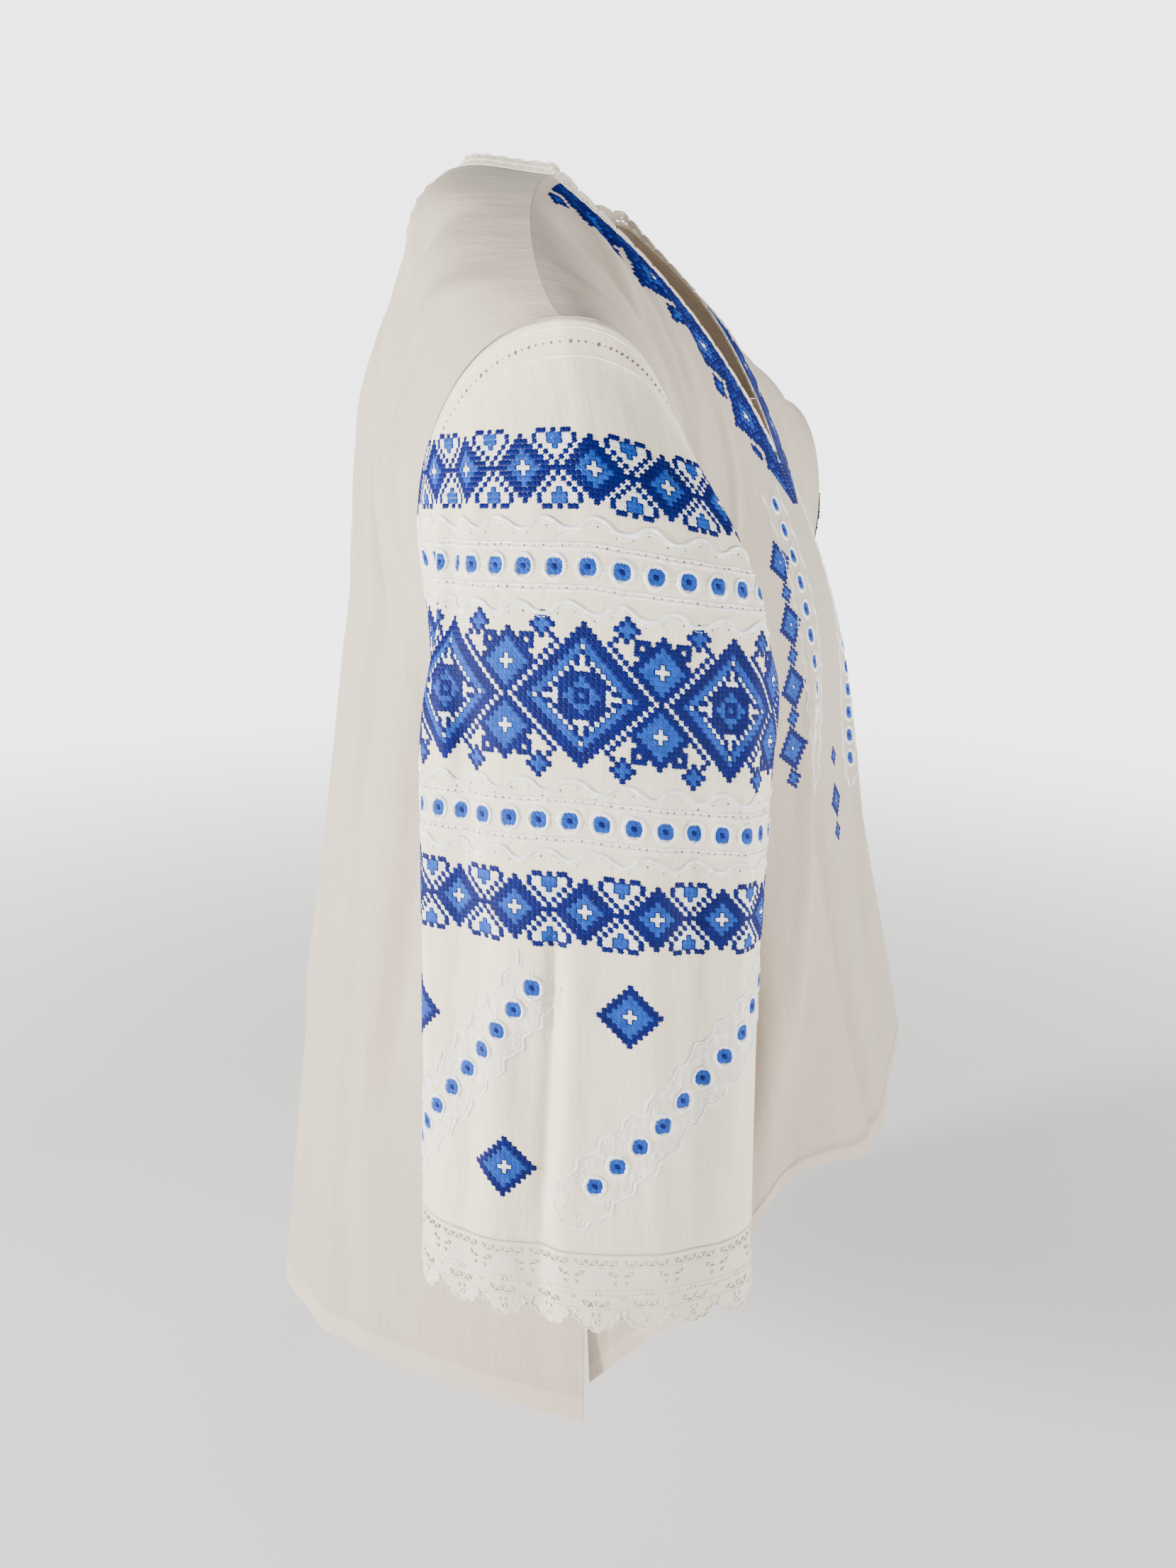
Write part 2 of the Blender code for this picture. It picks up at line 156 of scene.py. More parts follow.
# Finer creases, each a soft ridge or trough along a line on the cloth
# Places on a panel: across from -1, the wearer's right, to 1, and share from hem to shoulder
# Width and depth are in centimetres; a depth below 0 is a trough
FRONT_CREASES = (
    # across, share, across end, share end, width, depth
    (-0.30, 0.97, -0.50, 0.84, 0.43, -0.35),
    (-0.36, 0.97, -0.62, 0.88, 0.43, 0.32),
    (-0.30, 0.90, -0.42, 0.70, 0.57, 0.30),
    (-0.52, 0.98, -0.62, 0.80, 1.33, -0.74),
    (-0.78, 0.99, -0.84, 0.76, 0.85, 0.46),
    (0.30, 0.96, 0.46, 0.80, 0.47, -0.35),
    (0.36, 0.97, 0.62, 0.88, 0.43, 0.30),
    (0.54, 0.98, 0.60, 0.82, 1.33, -0.68),
    (0.78, 0.99, 0.82, 0.78, 0.85, 0.41),
    (-0.50, 0.40, -0.60, 0.03, 0.85, -0.68),
    (-0.22, 0.52, -0.40, 0.22, 0.76, 0.41),
    (-0.20, 0.44, -0.10, 0.06, 0.85, -0.68),
    (0.14, 0.50, 0.12, 0.08, 0.76, 0.49),
    (0.50, 0.45, 0.52, 0.04, 0.85, -0.68),
    (-0.78, 0.52, -0.84, 0.20, 0.76, 0.54),
    (0.80, 0.58, 0.84, 0.18, 0.76, 0.54),
    (-0.88, 0.66, -0.52, 0.56, 0.57, -0.41),
    (-0.88, 0.60, -0.60, 0.46, 0.66, 0.32),
    (0.88, 0.64, 0.54, 0.55, 0.57, -0.38),
)
BACK_CREASES = (
    (-0.32, 0.97, -0.60, 0.90, 0.43, 0.36),
    (-0.30, 0.94, -0.54, 0.82, 0.47, -0.42),
    (-0.54, 0.98, -0.66, 0.82, 1.33, -0.83),
    (-0.80, 0.99, -0.84, 0.78, 0.85, 0.54),
    (0.30, 0.94, 0.50, 0.80, 0.47, -0.42),
    (0.54, 0.98, 0.64, 0.84, 1.33, -0.75),
    (0.80, 0.99, 0.82, 0.80, 0.85, 0.45),
    (-0.56, 0.80, -0.46, 0.50, 0.85, -0.90),
    (-0.42, 0.82, -0.36, 0.56, 0.76, 0.66),
    (-0.70, 0.62, -0.66, 0.28, 0.85, -0.69),
    (-0.22, 0.62, -0.20, 0.26, 0.85, 0.66),
    (-0.08, 0.50, -0.12, 0.14, 0.76, -0.60),
    (0.18, 0.66, 0.20, 0.30, 0.85, -0.69),
    (0.32, 0.60, 0.34, 0.22, 0.76, 0.54),
    (0.52, 0.74, 0.54, 0.40, 0.76, -0.75),
    (-0.82, 0.54, -0.84, 0.22, 0.76, 0.60),
    (-0.50, 0.42, -0.58, 0.04, 0.95, -0.69),
    (-0.36, 0.36, -0.38, 0.04, 0.85, 0.54),
    (0.10, 0.34, 0.06, 0.04, 0.95, 0.63),
    (0.76, 0.50, 0.80, 0.12, 0.85, 0.63),
    (-0.12, 0.26, -0.16, 0.03, 0.85, -0.54),
)
# Places on a sleeve: turn in degrees from the outer line towards the front, share from armhole to cuff
SLEEVE_CREASES = (
    (-46.0, 0.02, -54.0, 0.26, 0.60, -0.50),
    (-34.0, 0.00, -40.0, 0.18, 0.50, 0.26),
    (-60.0, 0.14, -50.0, 0.40, 0.55, 0.28),
    (22.0, 0.00, 62.0, 0.20, 0.55, 0.34),
    (30.0, 0.00, 72.0, 0.18, 0.45, -0.30),
    (8.0, 0.01, 30.0, 0.14, 0.50, -0.18),
    (-7.0, 0.66, -11.0, 0.98, 0.32, -0.34),
    (0.0, 0.68, -4.0, 1.00, 0.45, 0.20),
    (-34.0, 0.62, -42.0, 1.00, 0.70, -0.26),
    (-40.0, 0.40, -48.0, 0.80, 0.80, -0.28),
    (24.0, 0.60, 30.0, 1.00, 0.80, 0.18),
    (38.0, 0.50, 44.0, 1.00, 0.80, -0.26),
    (-62.0, 0.30, -66.0, 0.80, 0.80, 0.28),
    (60.0, 0.30, 62.0, 0.86, 0.80, 0.24),
    (96.0, 0.20, 100.0, 0.70, 0.90, -0.36),
    (128.0, 0.10, 120.0, 0.60, 0.90, 0.34),
    (-112.0, 0.12, -108.0, 0.70, 0.90, -0.38),
    (176.0, 0.16, 168.0, 0.90, 0.80, -0.32),
    (-156.0, 0.30, -160.0, 0.96, 0.80, 0.32),
)


def table(columns, name, share, along="share"):
    """Reads a named column of a table at any share, on a smooth curve through its rows."""
    knots = np.asarray(columns[along], float)
    values = np.asarray(columns[name], float)
    steps = np.diff(knots)
    slopes = np.diff(values) / steps
    tangents = np.empty_like(values)
    tangents[0] = slopes[0]
    tangents[-1] = slopes[-1]
    tangents[1:-1] = (slopes[:-1] * steps[1:] + slopes[1:] * steps[:-1]) / (steps[:-1] + steps[1:])
    share = np.clip(np.asarray(share, float), knots[0], knots[-1])
    place = np.clip(np.searchsorted(knots, share, side="right") - 1, 0, len(steps) - 1)
    step = steps[place]
    u = (share - knots[place]) / step
    curve = (1 + 2 * u) * (1 - u) ** 2 * values[place] + u * (1 - u) ** 2 * step * tangents[place]
    return curve + u * u * (3 - 2 * u) * values[place + 1] + u * u * (u - 1) * step * tangents[place + 1]


def ease(value):
    """Smooth step from 0 to 1."""
    value = np.clip(value, 0.0, 1.0)
    return value * value * (3.0 - 2.0 * value)


def unit(vectors):
    """Vectors scaled to length 1."""
    return vectors / np.maximum(np.linalg.norm(vectors, axis=-1, keepdims=True), 1e-9)


def armhole_share(share):
    """How far a panel's height has come up the armhole, 0 at the underarm and 1 at the shoulder."""
    return np.clip((share - UNDERARM) / (1.0 - UNDERARM), 0.0, 1.0)


def side_edge(share, facing):
    """Edge of a panel on the wearer's left: the side seam, then the armhole's rim.

    Facing is -1 for the front and 1 for the back.
    """
    up = armhole_share(share)
    reach = ARMHOLE_FRONT if facing < 0 else ARMHOLE_BACK
    x = table(SIDE, "x", share)
    power = ARMHOLE_ROUND[0] + (ARMHOLE_ROUND[1] - ARMHOLE_ROUND[0]) * ease(up)
    y = table(SIDE, "y", share) + facing * reach * np.clip(np.sin(math.pi * up), 0.0, 1.0) ** power
    low = table(SIDE, "z", UNDERARM)
    rim = low + (SIDE["z"][-1] - low) * (1.0 - np.cos(math.pi * up)) / 2.0
    z = np.where(share < UNDERARM, table(SIDE, "z", share), rim)
    open_slit = np.clip(1.0 - share / SLIT_TOP, 0.0, 1.0)
    x = x + (FRONT_SLIT_SPREAD if facing < 0 else BACK_SLIT_SPREAD) * open_slit ** 1.5
    return x, y, z


def fold_swell(folds, across, share):
    """How far the main folds of a panel stand out at each point."""
    swell = np.zeros_like(across)
    for row in range(len(folds["across"])):
        low, high = folds["low"][row], folds["high"][row]
        rise = np.clip((high - share) / (high - low), 0.0, 1.0)
        middle = folds["across"][row] + folds["drift"][row] * rise
        hump = np.exp(-((across - middle) / folds["spread"][row]) ** 2)
        swell += folds["depth"][row] * hump * ease(rise)
    return swell * ease((1.0 - np.abs(across)) / 0.12)


def crease_swell(creases, across, along, per_across, per_along):
    """How far the finer creases stand out; the last two numbers turn places on the cloth into centimetres."""
    swell = np.zeros_like(across)
    for a0, b0, a1, b1, width, depth in creases:
        way = np.array([(a1 - a0) * per_across, (b1 - b0) * per_along])
        length = np.linalg.norm(way)
        way /= length
        du = (across - a0) * per_across
        dv = (along - b0) * per_along
        run = (du * way[0] + dv * way[1]) / length
        off = du * way[1] - dv * way[0]
        swell += depth * np.exp(-(off / width) ** 2) * ease((0.75 - np.abs(run - 0.5)) / 0.35)
    return swell


def panel_surface(across, share, facing):
    """Points of the front or back panel: across runs from -1 to 1, share from the hem to the shoulder."""
    middle = FRONT_MIDDLE if facing < 0 else BACK_MIDDLE
    folds = FRONT_FOLDS if facing < 0 else BACK_FOLDS
    creases = FRONT_CREASES if facing < 0 else BACK_CREASES
    x_side, y_side, z_side = side_edge(share, facing)
    stop = np.radians(90.0 - ARMHOLE_TURN * ease(armhole_share(share) / 0.4))
    angle = np.abs(across) * stop
    out = np.sin(angle) / np.sin(stop)
    inward = np.clip((np.cos(angle) - np.cos(stop)) / (1.0 - np.cos(stop)), 0.0, 1.0)
    x = np.sign(across) * x_side * out
    y = y_side + (table(middle, "y", share) - y_side) * inward
    bend = 1.0 + SHOULDER_BEND * np.clip(share, 0.0, 1.0) ** 4
    z = z_side + (table(middle, "z", share) - z_side) * inward ** bend
    plain = SIDE["z"][0] + (middle["z"][0] - SIDE["z"][0]) * np.cos(np.abs(across) * math.pi / 2.0)
    hem = table(FRONT_HEM if facing < 0 else BACK_HEM, "z", np.abs(across), "across")
    z = z + (hem - plain) * np.clip(1.0 - share / HEM_REACH, 0.0, 1.0) ** 1.5
    fine = crease_swell(creases, across, share, PANEL_REACH, PANEL_RISE)
    fine *= ease((1.0 - np.abs(across)) / 0.10) * ease((1.0 - share) / 0.05)
    swell = fold_swell(folds, across, share) + fine
    x = x + swell * np.sin(angle) * np.sign(across)
    y = y + swell * np.cos(angle) * facing
    return np.stack([x, y, z], axis=-1)


def armhole_ring(turn):
    """Points of the armhole's rim at turns round the ring, from the shoulder over the front."""
    turn = np.mod(turn, 2.0 * math.pi)
    front = turn <= math.pi
    up = np.where(front, 1.0 - turn / math.pi, turn / math.pi - 1.0)
    share = UNDERARM + (1.0 - UNDERARM) * up
    x, y, z = side_edge(share, -1)
    y_back = side_edge(share, 1)[1]
    return np.stack([x, np.where(front, y, y_back), z], axis=-1)


def sleeve_surface(turn, share, word):
    """Points of a sleeve: turn goes round from the outer line over the front, share from armhole to cuff."""
    rim = armhole_ring(turn)
    x_middle = table(SLEEVE, "x", share)
    y_middle = table(SLEEVE, "y", share)
    swell = np.zeros_like(turn)
    around = np.mod(np.degrees(turn) + 180.0, 360.0) - 180.0
    for row in range(len(SLEEVE_FOLDS["turn"])):
        low, high = SLEEVE_FOLDS["low"][row], SLEEVE_FOLDS["high"][row]
        away = np.mod(around - SLEEVE_FOLDS["turn"][row] + 180.0, 360.0) - 180.0
        reach = ease((share - low) / 0.08) * ease((high - share) / 0.15 if high < 1.0 else 1.0 + share)
        swell += SLEEVE_FOLDS["depth"][row] * np.exp(-(away / SLEEVE_FOLDS["spread"][row]) ** 2) * reach
    fine = crease_swell(SLEEVE_CREASES, around, share, SLEEVE_REACH, SLEEVE_RISE)
    swell += fine * ease(share / 0.05) * (1.0 - 0.5 * ease((share - 0.9) / 0.1))
    through = table(SLEEVE, "through", share) * np.cos(turn)
    across = table(SLEEVE, "across", share) * np.sin(turn)
    lean = math.radians(SLEEVE_TURN)
    out = unit(np.stack([np.cos(turn) / SLEEVE_OVAL[0], np.sin(turn) / SLEEVE_OVAL[1]], axis=-1))
    through = through + swell * out[..., 0]
    across = across + swell * out[..., 1]
    x = x_middle + through * math.cos(lean) - across * math.sin(lean)
    y = y_middle - across * math.cos(lean) - through * math.sin(lean) + SLEEVE_SWING[word]
    fill = 1.0 - (1.0 - np.clip(share / SLEEVE_FILL, 0.0, 1.0)) ** 2.2
    x = rim[..., 0] + (x - rim[..., 0]) * fill
    y = rim[..., 1] + (y - rim[..., 1]) * (1.0 - (1.0 - np.clip(share / SLEEVE_SPREAD, 0.0, 1.0)) ** 2)
    z = rim[..., 2] + (CUFF_HEIGHT - rim[..., 2]) * share
    x = x + UNDERARM_CLEAR * (1.0 - np.cos(turn)) / 2.0
    return np.stack([x if word == "left" else -x, y, z], axis=-1)


# Centimetres of cloth per unit of a panel's and a sleeve's places, for the creases
PANEL_REACH = 24.0
PANEL_RISE = 66.0
SLEEVE_REACH = 0.11
SLEEVE_RISE = 38.0


def length(name, description, default):
    """A length that a user may change."""
    return FloatProperty(name=name, description=description, default=default, unit="LENGTH")


def number(name, description, default, least):
    """A count that a user may change."""
    return IntProperty(name=name, description=description, default=default, min=least)


class BlouseSizes(bpy.types.PropertyGroup):
    """Sizes that a user may change."""

    wall: length("Cloth", "Thickness of the voile", 0.0009)
    hem_wall: length("Hem", "Thickness of a turned hem", 0.0018)
    hem: length("Hem depth", "Depth of the turned hem", 0.012)
    stitch: length("Stitch", "Width of one cross stitch", 0.00225)
    thread: length("Thread", "Width of a stitch's thread", 0.0011)
    cuff_lace: length("Cuff lace", "Height of the cuffs' lace", 0.038)
    cuff_scallops: number("Cuff scallops", "Scallops round one cuff", 17, 8)
    neck_scallops: number("Neck scallops", "Scallops along the neckline", 46, 16)


def colour(name, description, default):
    """A colour that a user may change."""
    settings = {"subtype": "COLOR", "min": 0.0, "max": 1.0}
    return FloatVectorProperty(name=name, description=description, default=default, **settings)


class BlouseColours(bpy.types.PropertyGroup):
    """Colours that a user may change."""

    # Painted shade: the front and back are the same white voile as the sleeves, given this darker colour for
    # the shade they stand in and the dark inside showing through
    body: colour("Body", "Voile of the front and back", (0.540, 0.455, 0.360))
    sleeve: colour("Sleeve", "Voile of the sleeves", (0.900, 0.805, 0.615))
    lace: colour("Lace", "Cotton of the lace", (0.880, 0.800, 0.660))
    dark: colour("Dark blue", "Darker embroidery thread", (0.001, 0.005, 0.105))
    light: colour("Light blue", "Lighter embroidery thread", (0.010, 0.065, 0.360))
    white: colour("White", "White relief thread", (0.960, 0.950, 0.910))
    # Painted shade: the flat spots that stand for drawn holes take this colour
    hole: colour("Hole", "Shade inside the drawn holes", (0.200, 0.150, 0.100))
    floor: colour("Floor", "Plain pale floor", (0.880, 0.880, 0.880))


def sizes():
    """The sizes in use."""
    return bpy.context.scene.blouse_sizes


def colours():
    """The colours in use."""
    return bpy.context.scene.blouse_colours


# Materials


class Signal:
    """A shader socket that Python's signs work on.

    Numbers go through Math nodes, and vectors through Vector Math.
    """

    def __init__(self, tree, socket=None):
        self.tree = tree
        self.socket = socket

    def node(self, kind, settings=None, links=None, output=0):
        """Adds any node, from its type, its settings, and the values or links of its sockets."""
        made = self.tree.nodes.new(kind)
        for name, value in (settings or {}).items():
            if name == "stops":
                ramp = made.color_ramp.elements
                while len(ramp) < len(value):
                    ramp.new(0.5)
                for element, (place, shade) in zip(ramp, value):
                    element.position = place
                    element.color = shade
            else:
                setattr(made, name, value)
        for name, value in (links or {}).items():
            if isinstance(value, Signal):
                self.tree.links.new(value.socket, made.inputs[name])
            else:
                made.inputs[name].default_value = value
        return Signal(self.tree, made.outputs[output])

    def sign(self, operation, first, second):
        """A Math node, or a Vector Math node where either side is a vector."""
        sides = (first, second)
        wide = any(isinstance(side, Signal) and side.socket.type == "VECTOR" for side in sides)
        wide = wide or any(isinstance(side, tuple) for side in sides)
        if wide and operation == "MULTIPLY" and any(isinstance(side, (int, float)) for side in sides):
            number = next(side for side in sides if isinstance(side, (int, float)))
            sides = tuple((number,) * 3 if side is number else side for side in sides)
        kind = "ShaderNodeVectorMath" if wide else "ShaderNodeMath"
        return self.node(kind, {"operation": operation}, dict(enumerate(sides)))

    def __add__(self, other):
        return self.sign("ADD", self, other)

    __radd__ = __add__

    def __mul__(self, other):
        return self.sign("MULTIPLY", self, other)

    __rmul__ = __mul__

    def __sub__(self, other):
        return self.sign("SUBTRACT", self, other)

    def __rsub__(self, other):
        return self.sign("SUBTRACT", other, self)

    def __pow__(self, other):
        return self.sign("POWER", self, other)

    def __gt__(self, other):
        return self.sign("GREATER_THAN", self, other)

    def __lt__(self, other):
        return self.sign("LESS_THAN", self, other)

    def part(self, name):
        """One axis of a vector."""
        return self.node("ShaderNodeSeparateXYZ", links={0: self}, output="XYZ".index(name))

    def noise(self, scale, detail=2.0, roughness=0.5):
        """Soft noise from 0 to 1 at these places."""
        links = {"Vector": self, "Scale": scale, "Detail": detail, "Roughness": roughness}
        return self.node("ShaderNodeTexNoise", links=links)

    def blend(self, first, second):
        """A colour between two, by this number."""
        links = {"Factor": self, 6: first, 7: second}
        return self.node("ShaderNodeMix", {"data_type": "RGBA"}, links, output=2)


def new_material(name, roughness, sheen=0.0, soft=0.0):
    """A material with its Principled shader, and a signal that starts its nodes."""
    made = bpy.data.materials.new(name)
    made.use_nodes = True
    shader = made.node_tree.nodes["Principled BSDF"]
    shader.inputs["Roughness"].default_value = roughness
    shader.inputs["Sheen Weight"].default_value = sheen
    shader.inputs["Sheen Roughness"].default_value = 0.5
    shader.inputs["Subsurface Weight"].default_value = soft
    shader.inputs["Subsurface Radius"].default_value = (0.004, 0.004, 0.004)
    return made, shader, Signal(made.node_tree)


def feed(shader, name, signal):
    """Joins a signal to one of the shader's sockets."""
    signal.tree.links.new(signal.socket, shader.inputs[name])


def rgba(shade, scale=1.0):
    """A colour as the nodes take it, made lighter or darker."""
    return tuple(min(1.0, channel * scale) for channel in shade) + (1.0,)


def voile(name, shade, hem_depth):
    """Thin cotton voile: uneven warp and weft threads, a paler double hem, and a soft bump of both."""
    made, shader, start = new_material(name, 0.88, sheen=0.12)
    cloth = start.node("ShaderNodeUVMap", {"uv_map": "cloth"})
    warp = (cloth * (1100.0, 60.0, 1.0)).noise(1.0, 3.0, 0.6)
    weft = (cloth * (50.0, 1200.0, 1.0)).noise(1.0, 3.0, 0.6)
    slub = (cloth * (520.0, 16.0, 1.0)).noise(1.0, 2.0, 0.5)
    mottle = (cloth * (24.0, 16.0, 1.0)).noise(1.0, 3.0, 0.6)
    crumple = (cloth * (60.0, 26.0, 1.0)).noise(1.0, 3.0, 0.5)
    thin = warp * 0.32 + weft * 0.18 + slub * 0.30 + mottle * 0.20
    hem = cloth.part("Y") < hem_depth
    tone = thin.node("ShaderNodeMapRange", links={0: thin, 1: 0.34, 2: 0.66})
    plain = tone.blend(rgba(shade, 0.86), rgba(shade, 1.08))
    folded = tone.blend(rgba(shade, 1.06), rgba(shade, 1.16))
    # The folded hem is paler: its doubled cloth is denser, and it carries less of the painted shade that
    # darkens the single layer
    feed(shader, "Base Color", hem.blend(plain, folded))
    height = warp * 0.08 + weft * 0.06 + slub * 0.05 + crumple
    bump = height.node("ShaderNodeBump", links={"Height": height, "Strength": 0.6, "Distance": 0.0030})
    feed(shader, "Normal", bump)
    return made


def floss(name, shade, gloss):
    """Stranded embroidery cotton: a soft shine and a little change of shade from stitch to stitch."""
    made, shader, start = new_material(name, gloss)
    shader.inputs["Specular IOR Level"].default_value = 0.15
    place = start.node("ShaderNodeTexCoord", output=3)
    tone = place.noise(260.0, 2.0, 0.5)
    tone = tone.node("ShaderNodeMapRange", links={0: tone, 1: 0.35, 2: 0.65})
    feed(shader, "Base Color", tone.blend(rgba(shade, 0.78), rgba(shade, 1.22)))
    strands = place.noise(2600.0, 2.0, 0.6)
    bump = strands.node("ShaderNodeBump", links={"Height": strands, "Strength": 0.4, "Distance": 0.0003})
    feed(shader, "Normal", bump)
    return made


def lace_cotton(name, shade):
    """Crocheted cotton: small knots in the bump, with painted shade that darkens the hollows between them."""
    made, shader, start = new_material(name, 0.85, sheen=0.1)
    place = start.node("ShaderNodeTexCoord", output=3)
    links = {"Vector": place, "Scale": 1100.0, "Randomness": 0.7}
    knots = place.node("ShaderNodeTexVoronoi", links=links)
    twist = place.noise(2400.0, 2.0, 0.6)
    # Painted shade: darker away from each knot's middle, in the hollows of the bump
    tone = knots.node("ShaderNodeMapRange", links={0: knots, 1: 0.0, 2: 0.75})
    feed(shader, "Base Color", tone.blend(rgba(shade, 1.08), rgba(shade, 0.86)))
    height = 1.0 - knots * 0.8 + twist * 0.25
    bump = height.node("ShaderNodeBump", links={"Height": height, "Strength": 0.55, "Distance": 0.0005})
    feed(shader, "Normal", bump)
    return made


# Meshes


def put(name, points, faces, finish, slot, nodes=(), cloth=None, sharp=None):
    """Writes one piece from points in centimetres.

    It says what the piece rides on, its finish and the nodes that it replaces.
    """
    mesh = bpy.data.meshes.new(name)
    counts = np.concatenate([np.full(len(part), part.shape[1]) for part in faces])
    corners = np.concatenate([part.ravel() for part in faces])
    mesh.vertices.add(len(points))
    mesh.vertices.foreach_set("co", (np.asarray(points) * CM).astype(np.float32).ravel())
    mesh.loops.add(len(corners))
    mesh.loops.foreach_set("vertex_index", corners.astype(np.int32))
    mesh.polygons.add(len(counts))
    mesh.polygons.foreach_set("loop_start", (np.cumsum(counts) - counts).astype(np.int32))
    mesh.update(calc_edges=True)
    if cloth is not None:
        layer = mesh.uv_layers.new(name="cloth")
        layer.uv.foreach_set("vector", (cloth * CM).astype(np.float32).ravel())
    mesh.shade_smooth()
    if sharp is not None:
        mesh.set_sharp_from_angle(angle=math.radians(sharp))
    mesh.materials.append(finish)
    piece = bpy.data.objects.new(name, mesh)
    bpy.context.scene.collection.objects.link(piece)
    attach(piece, "root")
    if nodes:
        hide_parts(*nodes)
    return piece


def normals(grid, wrap):
    """Normals of a grid, from its neighbours."""
    if wrap:
        along = np.roll(grid, -1, axis=1) - np.roll(grid, 1, axis=1)
    else:
        along = np.gradient(grid, axis=1)
    return unit(np.cross(along, np.gradient(grid, axis=0)))


def around_cells(values):
    """The four corners of every cell of a grid, in turn."""
    corners = (values[:-1, :-1], values[:-1, 1:], values[1:, 1:], values[1:, :-1])
    return np.stack(corners, axis=2).reshape((-1, 4) + values.shape[2:])


def shell(grid, thick, wrap, flip, cloth):
    """Closes a grid into a thin wall: points, faces and the cloth's places at each face's corners."""
    rows, columns = grid.shape[:2]
    out = normals(grid, wrap) * (-1.0 if flip else 1.0)
    half = np.broadcast_to(np.asarray(thick, float), (rows, columns))[..., None] / 2.0
    points = np.concatenate([(grid + out * half).reshape(-1, 3), (grid - out * half).reshape(-1, 3)])
    index = np.arange(rows * columns).reshape(rows, columns)
    if wrap:
        index = np.concatenate([index, index[:, :1]], axis=1)
    borders = [(index[0, :-1], index[0, 1:], cloth[0, :-1], cloth[0, 1:])]
    borders += [(index[-1, 1:], index[-1, :-1], cloth[-1, 1:], cloth[-1, :-1])]
    if not wrap:
        borders += [(index[1:, 0], index[:-1, 0], cloth[1:, 0], cloth[:-1, 0])]
        borders += [(index[:-1, -1], index[1:, -1], cloth[:-1, -1], cloth[1:, -1])]
    faces = [around_cells(index)]
    places = [around_cells(cloth)]
    faces.append(faces[0][:, ::-1] + rows * columns)
    places.append(places[0][:, ::-1])
    for first, second, at_first, at_second in borders:
        inner = rows * columns
        faces.append(np.stack([second, first, first + inner, second + inner], axis=1))
        places.append(np.stack([at_second, at_first, at_first, at_second], axis=1))
    if flip:
        faces = [part[:, ::-1] for part in faces]
        places = [part[:, ::-1] for part in places]
    return points, faces, np.concatenate(places).reshape(-1, 2)


# Places on the cloth

# How far a row of stitches drops at the sleeve's front, by its height at the outer line
ROW_DROP = {
    "height": (-52.0, -38.0, -30.5, -25.0, -20.0, -16.0, -13.0),
    "drop": (0.0, 0.5, 1.0, 0.95, 1.26, 2.0, 2.3),
}


class SleeveCloth:
    """Finds points of a sleeve by its cloth.

    A place is centimetres round from the outer line, and a row's height there.
    """

    def __init__(self, word):
        self.word = word
        self.shares = np.linspace(0.0, 1.0, 121)
        turns = np.linspace(-math.pi, math.pi, 721)
        grid = sleeve_surface(*np.meshgrid(turns, self.shares), word)
        steps = np.linalg.norm(np.diff(grid, axis=1), axis=2)
        arcs = np.concatenate([np.zeros((len(self.shares), 1)), np.cumsum(steps, axis=1)], axis=1)
        arcs -= arcs[:, 360:361]
        self.arcs = arcs
        self.turns = turns
        self.ways = np.linspace(-27.0, 27.0, 1081)
        self.turn_of = np.stack([np.interp(self.ways, row, turns) for row in arcs])
        self.ends = arcs[:, [0, -1]]

    def turn_at(self, arc, share):
        """Turn round the sleeve at a distance round the cloth."""
        row = np.clip(share, 0.0, 1.0) * (len(self.shares) - 1)
        column = (arc - self.ways[0]) / (self.ways[1] - self.ways[0])
        low_row = np.clip(row.astype(int), 0, len(self.shares) - 2)
        low_column = np.clip(column.astype(int), 0, len(self.ways) - 2)
        part_row = row - low_row
        part_column = np.clip(column - low_column, 0.0, 1.0)
        one, two = self.turn_of[low_row, low_column], self.turn_of[low_row, low_column + 1]
        three, four = self.turn_of[low_row + 1, low_column], self.turn_of[low_row + 1, low_column + 1]
        above = one + (two - one) * part_column
        below = three + (four - three) * part_column
        return above * (1 - part_row) + below * part_row

    def place(self, arc, height, near=None):
        """Turn and share of places on the cloth, worked out again from a near one's where that is known."""
        turn = arc / 7.0 if near is None else near
        share = np.full_like(turn, 0.4)
        drop = table(ROW_DROP, "drop", height, "height")
        for _ in range(6 if near is None else 2):
            z = height - drop * np.clip(np.sin(turn), 0.0, 1.0)
            rim = armhole_ring(turn)[..., 2]
            share = np.clip((z - rim) / (CUFF_HEIGHT - rim), 0.0, 1.0)
            turn = self.turn_at(arc, share)
        return turn, share

    def holds(self, arc, share):
        """Whether the cloth reaches that far round."""
        row = np.clip((share * (len(self.shares) - 1)).astype(int), 0, len(self.shares) - 1)
        return (arc > self.ends[row, 0] + 0.12) & (arc < self.ends[row, 1] - 0.12)

    def at(self, turn, share):
        """Points and outward normals."""
        points = sleeve_surface(turn, share, self.word)
        along = sleeve_surface(turn + 0.02, share, self.word) - sleeve_surface(turn - 0.02, share, self.word)
        down = sleeve_surface(turn, share + 0.006, self.word) - sleeve_surface(turn, share - 0.006, self.word)
        out = unit(np.cross(along, down)) * (1.0 if self.word == "left" else -1.0)
        return points, out

    def frame(self, arc, height):
        """Points on the cloth's face, outward normals, ways round and up, and whether cloth is there."""
        turn, share = self.place(arc, height)
        points, out = self.at(turn, share)
        ahead = sleeve_surface(*self.place(arc + 0.1, height, turn), self.word)
        above = sleeve_surface(*self.place(arc, height + 0.1, turn), self.word)
        lift = out * (sizes().wall / CM / 2.0)
        return points + lift, out, unit(ahead - points), unit(above - points), self.holds(arc, share)


